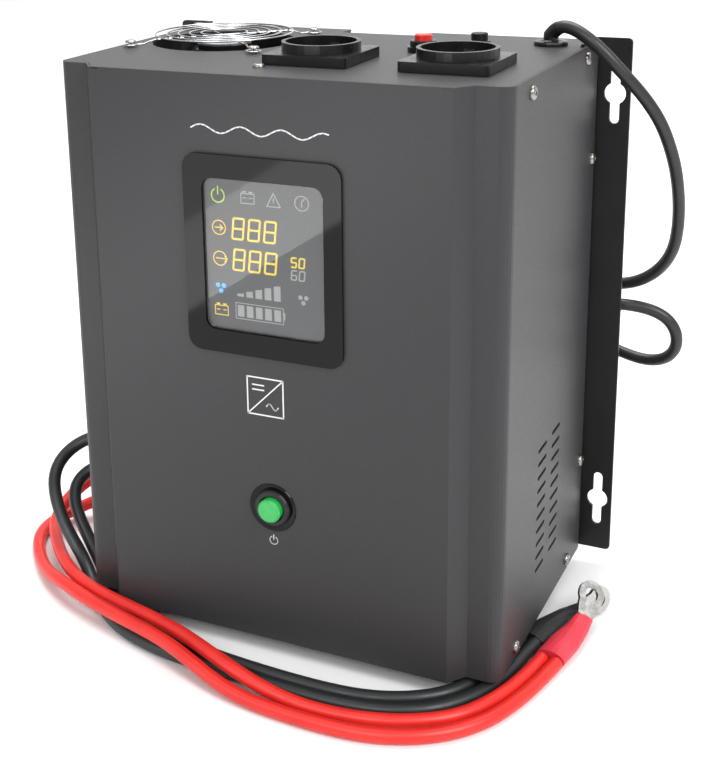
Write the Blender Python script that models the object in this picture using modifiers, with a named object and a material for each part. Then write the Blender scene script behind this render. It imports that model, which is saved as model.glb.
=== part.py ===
"""Wall-mounted power inverter: sheet-metal case, fan, sockets, display, controls, cables and insides.

Metres, +Z up. The front faces -Y. The origin is on the floor under the middle of the case.
"""
import math

import bmesh
import bpy
from mathutils import Matrix, Vector

# ---------------------------------------------------------------- driving dimensions
MM = 0.001
GAP = 0.3 * MM                    # clearance between pieces that rest on each other
SHEET = 1.2 * MM                  # folded steel of the case
BITE = 0.2 * MM                   # how far joined shapes stay clear of each other's faces
CASE_WIDTH = 265 * MM
CASE_HEIGHT = 330 * MM
FOOT_HEIGHT = 10 * MM
FRONT_Y = -79 * MM                # recessed strips at both sides of the front
BACK_Y = 93 * MM
PANEL_PROUD = 10 * MM             # how far the middle of the front stands forward
PANEL_HALF = 105.5 * MM           # half width of the raised middle
PANEL_SLANT = 8.2 * MM            # width of each sloping side of the raised middle
CORNER_RADIUS = 7 * MM
COVER_BACK_Y = 89.5 * MM

HALF = CASE_WIDTH / 2
BASE_Z = FOOT_HEIGHT
TOP_Z = BASE_Z + CASE_HEIGHT
PANEL_Y = FRONT_Y - PANEL_PROUD
INSIDE = HALF - SHEET - GAP       # half width that fits between the cover's side walls

BRACKET_SHEET = 2 * MM
BRACKET_REACH = 151.6 * MM        # outer edge of the wall flanges
BRACKET_TOP = TOP_Z + 1.5 * MM
LIP_FRONT_Y = 62 * MM
KEYHOLE_X = 142.5 * MM
KEYHOLE_Z = (45 * MM, 308.5 * MM)
KEYHOLE_RADIUS = 6.5 * MM
KEYHOLE_SLOT = 2.9 * MM           # half width of the slot
KEYHOLE_LENGTH = 36.5 * MM

FAN_X, FAN_Y = -81 * MM, 23 * MM
FAN_SIZE = 92 * MM
FAN_DEPTH = 25 * MM
FAN_HOLES = 41.25 * MM            # half of the 82.5 mm hole spacing
FAN_BORE = 44 * MM
FAN_BLADE = 42 * MM
FAN_HUB = 17.5 * MM
GUARD_RINGS = (42 * MM, 35 * MM, 28 * MM, 21 * MM, 14 * MM)
GUARD_WIRE = 1.1 * MM
GUARD_RISE = 3.4 * MM

SOCKET_X = (8 * MM, 87 * MM)
SOCKET_Y = -29 * MM
SOCKET_PLATE = 50 * MM
SOCKET_PLATE_THICK = 5.7 * MM
SOCKET_COLLAR = 22 * MM
SOCKET_COLLAR_TOP = 11 * MM
SOCKET_WELL = 19.75 * MM
SOCKET_WELL_DEPTH = 17.5 * MM
SOCKET_BODY = 20.3 * MM
SOCKET_BODY_DEPTH = 22 * MM
SOCKET_PIN_PITCH = 19 * MM

BREAKER_X, BREAKER_Y = 50 * MM, 18 * MM
FUSE_X, FUSE_Y = 70 * MM, 58 * MM
GLAND_X, GLAND_Y = 111 * MM, 64 * MM
BUTTON_X, BUTTON_Z = 1.5 * MM, 95 * MM
BUTTON_RADIUS = 7 * MM
BUTTON_FACE_Y = -95.3 * MM

DISPLAY_X = (-47.5 * MM, 46.5 * MM)
DISPLAY_Z = (185 * MM, 297 * MM)
WINDOW_X = (-36 * MM, 36 * MM)
WINDOW_Z = (198 * MM, 284 * MM)

VENT_LENGTH = 17.5 * MM
VENT_WIDTH = 2.5 * MM
VENT_PITCH = 8.4 * MM
VENT_ROWS = 10
VENT_COLUMNS_Y = (-5 * MM, 23 * MM)
VENT_RIGHT_Z = 45 * MM            # lowest row on the right wall
VENT_LEFT_Z = 175 * MM            # lowest row on the left wall, above the battery cables

SCREW_HEAD = 3.9 * MM
SCREW_HOLE = 2.2 * MM
BRACKET_SCREWS = ((83 * MM, 270.5 * MM), (83 * MM, 74.5 * MM))
FOOT_XY = (106 * MM, (-66 * MM, 74 * MM))

MAINS_RADIUS = 3.75 * MM
COIL_CENTRE = (35 * MM, 144 * MM)
COIL_RADIUS = 41 * MM
COIL_HEIGHT = 24.8 * MM
BATTERY_RADIUS = 4.1 * MM

# Routes of the free cables, in mm, each on one smooth curve through its points
MAINS_ROUTE = (
    (111, 64, 343.5), (111.1, 63.9, 347.2), (112.9, 63.6, 350.8), (116.6, 62.8, 352.9), (121.4, 61.4, 352.2),
    (127.6, 59.8, 349.4), (135, 58.3, 345), (141.4, 58.3, 339.7), (148.1, 60, 332.5), (155, 63.5, 324.1),
    (161.8, 68, 315.7), (167.4, 73, 306.8), (172.2, 78, 297.5), (175.5, 82.5, 288.1), (178, 86.5, 278.5),
    (180.1, 90.5, 268.9), (181.4, 94.5, 257.8), (182.1, 98.5, 245.9), (181.9, 102.5, 231.3), (180.1, 106.5, 216.9),
    (176.2, 110, 205.6), (169.4, 113.2, 196.2), (159.8, 116.5, 188.2), (148.5, 119.5, 183), (130.5, 122, 181),
    (117, 124, 179.5), (104, 127, 174), (96.6, 129.5, 160.8), (101.6, 131.7, 147.6), (114, 133, 141.2),
    (126, 133.8, 137.4), (138.5, 133, 134.4), (150, 131.5, 131.3), (162, 129.5, 129.8), (173.2, 126.8, 132.7),
    (180.7, 123.8, 140.5), (182.6, 121, 151.2), (179, 118.5, 161.5), (171, 116.5, 168), (159.5, 114.2, 171),
    (145, 112, 172), (130, 110, 169.5), (115.5, 108.5, 162), (103.5, 108, 149.5), (95.5, 108.5, 132.5),
    (92, 110, 112), (90.5, 113, 91), (88.5, 117.5, 71), (85.3, 123, 53), (82.2, 128.6, 40), (78.8, 134.4, 28.2))
TAIL_ROUTE = ((8, 185.2, 4.2), (-4, 185.2, 5.6), (-17, 185.2, 10.2), (-29, 185.2, 15.6), (-40, 185.2, 18.8))
NEGATIVE_1_ROUTE = (
    (-136.2, -8, 80), (-152, -8, 79.5), (-170, -10.5, 76.5), (-181.5, -17, 71.5), (-187, -26.5, 65.5),
    (-187.5, -37, 58.5), (-183, -45, 50), (-175.5, -51, 39.5), (-167, -55.5, 28.5), (-157.3, -57.5, 18.5),
    (-147.5, -62.5, 10.2), (-137.5, -72, 5.2), (-126, -83, 4.2), (-111, -96, 4.2), (-94, -107, 4.2),
    (-76, -113.5, 4.2), (-58, -117.5, 4.2), (-38, -119.5, 4.2), (-16, -120.9, 4.2), (4, -122, 4.2),
    (22, -122.5, 4.2), (38, -123.2, 4.2), (56, -122.6, 4.2), (73, -120, 4.2), (89, -115, 4.2),
    (104, -106.3, 4.2), (114.8, -94.6, 4.2), (123, -81.5, 4.2), (127.8, -67, 4.2), (131.6, -52, 4.2),
    (133.6, -37, 4.3), (136.6, -23, 4.6))
NEGATIVE_2_ROUTE = (
    (-136.2, -8, 60), (-152, -8.3, 59.6), (-166, -12, 57), (-175.5, -19.5, 52.5), (-178, -29.5, 46),
    (-172.5, -37.5, 36.8), (-163, -43, 26.8), (-153.5, -47.5, 16.8), (-144, -53, 8.6), (-134, -61, 4.8),
    (-120, -73, 4.2), (-104, -84.5, 4.2), (-88, -94.5, 4.2), (-70, -101, 4.2), (-50, -106.5, 4.2),
    (-30, -110, 4.2), (-12, -111.8, 4.2), (4, -113, 4.2), (24, -113.8, 4.2), (43, -113.8, 4.2),
    (61, -112.4, 4.2), (78, -108, 4.2), (93, -100.5, 4.2), (106, -90, 4.2), (114.2, -77.2, 4.2),
    (118.8, -63.6, 4.2), (122, -49.5, 4.2), (124.8, -35, 4.3), (127.9, -21.5, 4.6))
POSITIVE_1_ROUTE = (
    (-136.2, 30, 44), (-152, 29.5, 43.5), (-172, 24.5, 40), (-189, 14, 33), (-200, 0, 24),
    (-203, -14, 15.5), (-197, -28, 13), (-187, -41, 13.2), (-176, -53.5, 13.4), (-164, -65, 13.4),
    (-151, -75.5, 13.2), (-136, -84, 13), (-114, -92, 13), (-89, -98, 12.8), (-68, -103.5, 12.8),
    (-47, -110.5, 12.8), (-28, -119, 12.8), (-8, -127, 12), (10, -131.5, 9), (28, -133, 5.6),
    (45, -133, 4.2), (60, -132, 4.2), (76, -129.3, 4.2), (92, -124, 4.2), (106.2, -116.3, 4.2),
    (118.6, -106.5, 4.2), (127.3, -93.5, 4.2), (134, -79, 4.2), (138.8, -63.5, 4.2), (142, -49, 4.3),
    (144.4, -35.9, 4.6))
POSITIVE_2_ROUTE = (
    (-136.2, 30, 24), (-152, 29.5, 23.4), (-173, 25, 19), (-192, 15.5, 12), (-206, 1.5, 6.5),
    (-211.5, -14, 4.3), (-208.5, -30, 4.2), (-199, -45, 4.2), (-187, -58.5, 4.4), (-174, -71, 6.5),
    (-160, -81.5, 10), (-145, -90, 12.6), (-128, -97.5, 12.8), (-104, -105.5, 12.8), (-80, -112.5, 12.8),
    (-58, -119, 12.6), (-38, -126.5, 10.8), (-18, -134, 7.4), (2, -139.5, 4.8), (20, -142, 4.2),
    (38, -143.3, 4.2), (56, -143.7, 4.2), (74, -142.5, 4.2), (90, -138.7, 4.2), (105, -132, 4.2),
    (118, -123, 4.2), (129, -111, 4.2), (137.3, -96.7, 4.2), (143, -80.7, 4.2), (147.3, -65, 4.2),
    (150.6, -50, 4.3), (153, -37.6, 4.6))

part_collection = bpy.data.collections.new("power_inverter")
cutter_collection = bpy.data.collections.new("cutters")


# ---------------------------------------------------------------- helpers
def material(name, colour, roughness, metallic=0.0, alpha=1.0):
    """A Principled material, made once for each name."""
    found = bpy.data.materials.get(name)
    if found:
        return found
    made = bpy.data.materials.new(name)
    made.use_nodes = True
    shader = made.node_tree.nodes["Principled BSDF"]
    shader.inputs["Base Color"].default_value = (*colour, 1.0)
    shader.inputs["Roughness"].default_value = roughness
    shader.inputs["Metallic"].default_value = metallic
    shader.inputs["Alpha"].default_value = alpha
    return made


CASE_PAINT = ("case_paint", (0.075, 0.076, 0.082), 0.45, 0.2)
BLACK_STEEL = ("black_steel", (0.012, 0.012, 0.013), 0.4, 0.2)
NICKEL = ("nickel", (0.72, 0.70, 0.66), 0.25, 1.0)
CHROME = ("chrome", (0.85, 0.86, 0.88), 0.12, 1.0)
BLACK_PLASTIC = ("black_plastic", (0.015, 0.015, 0.016), 0.35)
RUBBER = ("rubber", (0.02, 0.02, 0.02), 0.8)
CORD_PVC = ("cord_pvc", (0.016, 0.017, 0.018), 0.45)
BLACK_CABLE = ("black_cable", (0.02, 0.022, 0.023), 0.5)
RED_CABLE = ("red_cable", (0.9, 0.045, 0.04), 0.45)
RED_SLEEVE = ("red_sleeve", (0.85, 0.09, 0.14), 0.5)
BLACK_SLEEVE = ("black_sleeve", (0.015, 0.015, 0.016), 0.5)
TINNED_COPPER = ("tinned_copper", (0.8, 0.79, 0.76), 0.25, 1.0)
GREEN_PLASTIC = ("green_plastic", (0.05, 0.62, 0.16), 0.35)
RED_PLASTIC = ("red_plastic", (0.85, 0.06, 0.04), 0.35)
CLEAR_LENS = ("clear_lens", (0.8, 0.82, 0.85), 0.05, 0.0, 0.35)
LCD_GLASS = ("lcd_glass", (0.16, 0.16, 0.17), 0.2)
CIRCUIT_BOARD = ("circuit_board", (0.02, 0.18, 0.07), 0.5)
LAMINATION = ("lamination", (0.35, 0.34, 0.33), 0.4, 0.8)
WINDING_TAPE = ("winding_tape", (0.75, 0.6, 0.12), 0.5)
ALUMINIUM = ("aluminium", (0.75, 0.76, 0.78), 0.35, 1.0)
CAPACITOR_SLEEVE = ("capacitor_sleeve", (0.03, 0.05, 0.16), 0.35)
BRASS_STRIP = ("brass_strip", (0.75, 0.55, 0.22), 0.3, 1.0)


def finish(obj, name, look, smooth_angle=35):
    """Name a piece, give it its material and smooth shading."""
    obj.name = name
    obj.data.name = name
    obj.data.materials.clear()
    obj.data.materials.append(material(*look))
    if obj.type == "MESH":
        obj.data.shade_smooth()
        obj.data.set_sharp_from_angle(angle=math.radians(smooth_angle))
    return obj


def place(data, name, collection=None):
    """Put new mesh or curve data in the part's collection."""
    obj = bpy.data.objects.new(name, data)
    (collection or part_collection).objects.link(obj)
    return obj


def mesh_object(name, build):
    """A mesh object whose shape the given function makes in a bmesh."""
    shape = bmesh.new()
    build(shape)
    mesh = bpy.data.meshes.new(name)
    shape.to_mesh(mesh)
    shape.free()
    return place(mesh, name)


def box(name, low, high):
    """A box between two corners."""
    size = Vector(high) - Vector(low)
    middle = (Vector(high) + Vector(low)) / 2
    matrix = Matrix.Translation(middle) @ Matrix.Diagonal((*size, 1))
    return mesh_object(name, lambda shape: bmesh.ops.create_cube(shape, size=1, matrix=matrix))


def cylinder(name, start, end, radius, sides=24):
    """A cylinder from one point to another."""
    start = Vector(start)
    axis = Vector(end) - start
    turn = axis.to_track_quat("Z", "Y").to_matrix().to_4x4()
    matrix = Matrix.Translation(start + axis / 2) @ turn
    return mesh_object(name, lambda shape: bmesh.ops.create_cone(
        shape, cap_ends=True, segments=sides, radius1=radius, radius2=radius,
        depth=axis.length, matrix=matrix))


def many(name, pieces):
    """Several separate shapes in one object, for use as one cutter or one addition."""
    shape = bmesh.new()
    for piece in pieces:
        piece.data.transform(piece.matrix_basis)
        shape.from_mesh(piece.data)
        bpy.data.objects.remove(piece)
    mesh = bpy.data.meshes.new(name)
    shape.to_mesh(mesh)
    shape.free()
    return place(mesh, name)


def boolean(target, other, operation):
    """Cut the other shape out of the target, or join it on, and put it with the cutters."""
    modifier = target.modifiers.new(other.name, "BOOLEAN")
    modifier.operation = operation
    modifier.object = other
    part_collection.objects.unlink(other)
    cutter_collection.objects.link(other)
    other.hide_render = True
    other.display_type = "WIRE"


def cut(target, *others):
    for other in others:
        boolean(target, other, "DIFFERENCE")


def join(target, *others):
    for other in others:
        boolean(target, other, "UNION")


def arc(cx, cy, radius, start, end, count):
    """Points on an arc, angles in degrees."""
    angles = [math.radians(start + (end - start) * i / count) for i in range(count + 1)]
    return [(cx + radius * math.cos(a), cy + radius * math.sin(a)) for a in angles]


def ring_points(cx, cy, radius, count=24):
    return arc(cx, cy, radius, 0, 360 - 360 / count, count - 1)


def rounded(x0, x1, y0, y1, radius, count=4):
    """The outline of a rectangle with round corners."""
    return (arc(x1 - radius, y0 + radius, radius, -90, 0, count)
            + arc(x1 - radius, y1 - radius, radius, 0, 90, count)
            + arc(x0 + radius, y1 - radius, radius, 90, 180, count)
            + arc(x0 + radius, y0 + radius, radius, 180, 270, count))


def curve_to_mesh(obj):
    """Swap a curve for the mesh it makes, with its caps welded on."""
    graph = bpy.context.evaluated_depsgraph_get()
    mesh = bpy.data.meshes.new_from_object(obj.evaluated_get(graph))
    shape = bmesh.new()
    shape.from_mesh(mesh)
    bmesh.ops.remove_doubles(shape, verts=shape.verts, dist=0.00001)
    shape.to_mesh(mesh)
    shape.free()
    made = place(mesh, obj.name)
    made.matrix_world = obj.matrix_world
    curve = obj.data
    bpy.data.objects.remove(obj)
    bpy.data.curves.remove(curve)
    return made


def plate(name, outline, low, high, holes=(), upright=False):
    """A flat outline with holes, from low to high along Z, or along Y when it is upright."""
    curve = bpy.data.curves.new(name, "CURVE")
    curve.dimensions = "2D"
    curve.fill_mode = "BOTH"
    curve.extrude = (high - low) / 2
    for points in (outline, *holes):
        spline = curve.splines.new("POLY")
        spline.points.add(len(points) - 1)
        for point, (x, y) in zip(spline.points, points):
            point.co = (x, y, 0, 1)
        spline.use_cyclic_u = True
    obj = place(curve, name)
    if upright:
        obj.rotation_euler = (math.pi / 2, 0, 0)
        obj.location = (0, (low + high) / 2, 0)
    else:
        obj.location = (0, 0, (low + high) / 2)
    bpy.context.view_layer.update()
    return curve_to_mesh(obj)


def turned(name, profile, location, axis="Z", steps=28):
    """A turned solid: a profile of (radius, height), listed from the top down its outer side."""
    def build(shape):
        closed = profile[0] == profile[-1]
        points = profile[:-1] if closed else profile
        verts = [shape.verts.new((radius, 0, height)) for radius, height in points]
        for one, two in zip(verts, verts[1:]):
            shape.edges.new((one, two))
        if closed:
            shape.edges.new((verts[-1], verts[0]))
    obj = mesh_object(name, build)
    screw = obj.modifiers.new("turn", "SCREW")
    screw.steps = steps
    screw.render_steps = steps
    screw.use_merge_vertices = True
    screw.merge_threshold = 0.00001
    obj.location = location
    if axis == "-Y":
        obj.rotation_euler = (math.pi / 2, 0, 0)
    if axis == "-X":
        obj.rotation_euler = (0, -math.pi / 2, 0)
    if axis == "+X":
        obj.rotation_euler = (0, math.pi / 2, 0)
    return obj


def smooth(route, spacing):
    """Evenly spaced points on one smooth curve through a route given in mm."""
    points = [Vector(p) * MM for p in route]
    points = [2 * points[0] - points[1], *points, 2 * points[-1] - points[-2]]
    dense = []
    for a, b, c, d in zip(points, points[1:], points[2:], points[3:]):
        for i in range(20):
            t = i / 20
            dense.append(0.5 * (2 * b + (c - a) * t + (2 * a - 5 * b + 4 * c - d) * t ** 2
                                + (3 * b - a - 3 * c + d) * t ** 3))
    dense.append(points[-2])
    lengths = [(two - one).length for one, two in zip(dense, dense[1:])]
    count = round(sum(lengths) / spacing)
    step = sum(lengths) / count
    result = [dense[0]]
    walked = 0.0
    for point, length in zip(dense[1:], lengths):
        walked += length
        if walked >= step * len(result) - step * 0.001 and len(result) < count:
            result.append(point)
    result.append(dense[-1])
    return result


def tube(name, points, radius, cyclic=False, resolution=2, radii=None):
    """A round tube through points, as a curve object."""
    curve = bpy.data.curves.new(name, "CURVE")
    curve.dimensions = "3D"
    curve.bevel_depth = radius
    curve.bevel_resolution = resolution
    curve.use_fill_caps = True
    spline = curve.splines.new("POLY")
    spline.points.add(len(points) - 1)
    for i, (point, place_at) in enumerate(zip(spline.points, points)):
        point.co = (*place_at, 1)
        point.radius = radii[i] if radii else 1.0
    spline.use_cyclic_u = cyclic
    return place(curve, name)


def loft(name, stations, sides=16):
    """A solid through oval sections: each is (centre, half width vector, half height vector)."""
    def build(shape):
        rings = []
        for centre, wide, high in stations:
            angles = [2 * math.pi * i / sides for i in range(sides)]
            rings.append([shape.verts.new(centre + wide * math.cos(a) + high * math.sin(a)) for a in angles])
        for one, two in zip(rings, rings[1:]):
            for i in range(sides):
                j = (i + 1) % sides
                shape.faces.new((one[i], one[j], two[j], two[i]))
        shape.faces.new(rings[0][::-1])
        shape.faces.new(rings[-1])
        bmesh.ops.recalc_face_normals(shape, faces=shape.faces)
    return mesh_object(name, build)


# ---------------------------------------------------------------- case
def cover_path(inset):
    """The front and side walls in plan, from the right rear edge round to the left, moved inwards."""
    tip = inset * math.tan(math.atan2(PANEL_PROUD, PANEL_SLANT) / 2)
    right = [(HALF - inset, COVER_BACK_Y)]
    right += arc(HALF - CORNER_RADIUS, FRONT_Y + CORNER_RADIUS, CORNER_RADIUS - inset, 0, -90, 5)
    right.append((PANEL_HALF + PANEL_SLANT - tip, FRONT_Y + inset - 0.03 * MM))
    right.append((PANEL_HALF - tip, PANEL_Y + inset))
    return right + [(-x, y) for x, y in reversed(right)]


def wall_cylinders(name, side, places, radius, sides=10):
    """Drill holes through one side wall at (y, z) places."""
    return many(name, [cylinder("drill", (side * (HALF - 8 * MM), y, z), (side * (HALF + 4 * MM), y, z),
                                radius, sides) for y, z in places])


def vent_slots(name, side, lowest):
    """Two columns of short horizontal slots through one side wall."""
    slots = []
    for column in VENT_COLUMNS_Y:
        for row in range(VENT_ROWS):
            z = lowest + row * VENT_PITCH
            outline = [(y, z + dz) for y, dz in
                       [(column - VENT_LENGTH / 2 + VENT_WIDTH / 2 + dy, dz)
                        for dy, dz in arc(0, 0, VENT_WIDTH / 2, 90, 270, 2)]
                       + [(column + VENT_LENGTH / 2 - VENT_WIDTH / 2 + dy, dz)
                          for dy, dz in arc(0, 0, VENT_WIDTH / 2, -90, 90, 2)]]
            slot = plate("slot", outline, -4 * MM, 4 * MM)
            slot.matrix_basis = Matrix.Translation((side * HALF, 0, 0)) @ Matrix(
                ((0, 0, 1, 0), (1, 0, 0, 0), (0, 1, 0, 0), (0, 0, 0, 1)))
            slots.append(slot)
    return many(name, slots)


def front_cover():
    """The folded front and side walls, one sheet, with a raised middle panel."""
    band = cover_path(0) + cover_path(SHEET)[::-1]
    cover = plate("front_cover", band, BASE_Z, TOP_Z)
    window = plate("window_cut", rounded(WINDOW_X[0] - MM, WINDOW_X[1] + MM, WINDOW_Z[0] - MM,
                                         WINDOW_Z[1] + MM, 6 * MM), PANEL_Y - 3 * MM, PANEL_Y + 4 * MM,
                   upright=True)
    button = cylinder("button_cut", (BUTTON_X, PANEL_Y - 3 * MM, BUTTON_Z),
                      (BUTTON_X, PANEL_Y + 4 * MM, BUTTON_Z), 8.3 * MM)
    cut(cover, window, button)
    for side, lowest, word in ((1, VENT_RIGHT_Z, "right"), (-1, VENT_LEFT_Z, "left")):
        cut(cover, vent_slots(f"vents_{word}", side, lowest))
        cut(cover, wall_cylinders(f"cover_holes_{word}", side, BRACKET_SCREWS, SCREW_HOLE))
    cables = [plate("cable_cut", rounded(y - 7 * MM, y + 7 * MM, z - 17 * MM, z + 17 * MM, 6.9 * MM),
                    -4 * MM, 4 * MM) for y, z in ((-8 * MM, 70 * MM), (30 * MM, 34 * MM))]
    for piece in cables:
        piece.matrix_basis = Matrix.Translation((-HALF, 0, 0)) @ Matrix(
            ((0, 0, 1, 0), (1, 0, 0, 0), (0, 1, 0, 0), (0, 0, 0, 1)))
    cut(cover, many("cable_cuts", cables))
    finish(cover, "front_cover", CASE_PAINT)


def deck_outline(notch):
    """The plan of the top and bottom plates: inside the cover, with reliefs for the brackets' lips."""
    relief = INSIDE - BRACKET_SHEET - 2 * GAP
    front = [(x, y) for x, y in cover_path(SHEET + GAP)[1:-1]]
    right = [(relief, LIP_FRONT_Y - MM), (INSIDE, LIP_FRONT_Y - MM)]
    left = [(-x, y) for x, y in reversed(right)]
    rear = [(-relief, BACK_Y)]
    if notch:
        rear += [(-27 * MM, BACK_Y), (-27 * MM, BACK_Y - 14 * MM), (25 * MM, BACK_Y - 14 * MM),
                 (25 * MM, BACK_Y)]
    rear.append((relief, BACK_Y))
    return right + front + left + rear


def chassis():
    """Top, back and bottom plates folded from one sheet, with flanges that take the cover's screws."""
    fan_screws = [(FAN_X + sx * FAN_HOLES, FAN_Y + sy * FAN_HOLES) for sx in (-1, 1) for sy in (-1, 1)]
    holes = [ring_points(FAN_X, FAN_Y, FAN_BORE, 36)]
    holes += [ring_points(x, y, SCREW_HOLE, 10) for x, y in fan_screws]
    holes += [ring_points(x, SOCKET_Y, SOCKET_BODY + 0.5 * MM) for x in SOCKET_X]
    holes += [ring_points(BREAKER_X, BREAKER_Y, 6.5 * MM, 16), ring_points(FUSE_X, FUSE_Y, 5.4 * MM, 16),
              ring_points(GLAND_X, GLAND_Y, 7.5 * MM, 16)]
    body = plate("chassis", deck_outline(True), TOP_Z - SHEET, TOP_Z, holes)
    bottom = plate("bottom_plate", deck_outline(False), BASE_Z, BASE_Z + SHEET)
    wide = INSIDE - BRACKET_SHEET - 2 * GAP - BITE
    inner, outer = BACK_Y - SHEET, BACK_Y - BITE
    low, high = BASE_Z + BITE, TOP_Z - BITE
    back_outline = [(-wide, low), (wide, low), (wide, high), (25 * MM + BITE, high),
                    (25 * MM + BITE, TOP_Z - 10 * MM), (-27 * MM - BITE, TOP_Z - 10 * MM),
                    (-27 * MM - BITE, high), (-wide, high)]
    back = plate("back_plate", back_outline, inner, outer, upright=True)
    join(body, back, bottom)
    for side in (-1, 1):
        for low, high, word in ((BASE_Z + BITE, BASE_Z + 18 * MM, "low"), (TOP_Z - 18 * MM, TOP_Z - BITE, "high")):
            ends = sorted((side * (INSIDE - SHEET), side * (INSIDE - BITE)))
            flange = box(f"flange_{word}", (ends[0], -68 * MM, low), (ends[1], LIP_FRONT_Y - 1.5 * MM, high))
            join(body, flange)
    posts = [cylinder("post", (x, inner + 0.4 * MM, z), (x, inner - 8 * MM, z), 3 * MM, 8)
             for x in (-100 * MM, 100 * MM) for z in (120 * MM, 290 * MM)]
    join(body, many("board_posts", posts))
    cut(body, box("cable_notch", (-HALF, 21 * MM, 15 * MM), (-HALF + 4 * MM, 39 * MM, 30 * MM)))
    finish(body, "chassis", CASE_PAINT)


def keyhole(z):
    """A round hole with a slot above and below it, in X and Z."""
    bite = math.degrees(math.asin(KEYHOLE_SLOT / KEYHOLE_RADIUS))
    reach = KEYHOLE_LENGTH / 2 - KEYHOLE_SLOT
    return (arc(KEYHOLE_X, z, KEYHOLE_RADIUS, -90 + bite, 90 - bite, 7)
            + arc(KEYHOLE_X, z + reach, KEYHOLE_SLOT, 0, 180, 5)
            + arc(KEYHOLE_X, z, KEYHOLE_RADIUS, 90 + bite, 270 - bite, 7)
            + arc(KEYHOLE_X, z - reach, KEYHOLE_SLOT, 180, 360, 5))


def mounting_bracket(side, word):
    """An angle bracket: a lip screwed inside the cover and a flange with two keyholes for the wall."""
    front, back = BACK_Y + GAP, BACK_Y + GAP + BRACKET_SHEET
    root = INSIDE - BRACKET_SHEET
    outline = [(root, BASE_Z), *arc(BRACKET_REACH - 2.5 * MM, BASE_Z + 2.5 * MM, 2.5 * MM, -90, 0, 3),
               *arc(BRACKET_REACH - 2.5 * MM, BRACKET_TOP - 2.5 * MM, 2.5 * MM, 0, 90, 3), (root, BRACKET_TOP)]
    holes = [keyhole(z) for z in KEYHOLE_Z]
    if side < 0:
        outline = [(-x, z) for x, z in reversed(outline)]
        holes = [[(-x, z) for x, z in reversed(points)] for points in holes]
    bracket = plate(f"mounting_bracket_{word}", outline, front, back, holes, upright=True)
    ends = sorted((side * root, side * INSIDE))
    lip = box(f"lip_{word}", (ends[0], LIP_FRONT_Y, BASE_Z), (ends[1], back - 0.5 * MM, BRACKET_TOP))
    join(bracket, lip)
    cut(bracket, wall_cylinders(f"bracket_holes_{word}", side, BRACKET_SCREWS, SCREW_HOLE))
    finish(bracket, f"mounting_bracket_{word}", BLACK_STEEL)


def screw(name, location, axis):
    """A pan-head screw whose head rests just off the surface."""
    profile = [(0, 2.3 * MM), (1.9 * MM, 2.15 * MM), (3.2 * MM, 1.5 * MM), (SCREW_HEAD, 0.6 * MM),
               (SCREW_HEAD, GAP), (1.8 * MM, GAP), (1.8 * MM, -6 * MM), (0, -6.8 * MM)]
    finish(turned(name, profile, location, axis, steps=12), name, NICKEL)


def feet():
    x, rows = FOOT_XY
    profile = [(0, BASE_Z - GAP), (8 * MM, BASE_Z - GAP), (7.2 * MM, 0.8 * MM), (6.6 * MM, 0), (0, 0)]
    for word, y in zip(("front", "rear"), rows):
        for side, hand in ((-1, "left"), (1, "right")):
            finish(turned(f"foot_{word}_{hand}", profile, (side * x, y, 0), steps=20),
                   f"foot_{word}_{hand}", RUBBER)


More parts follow.
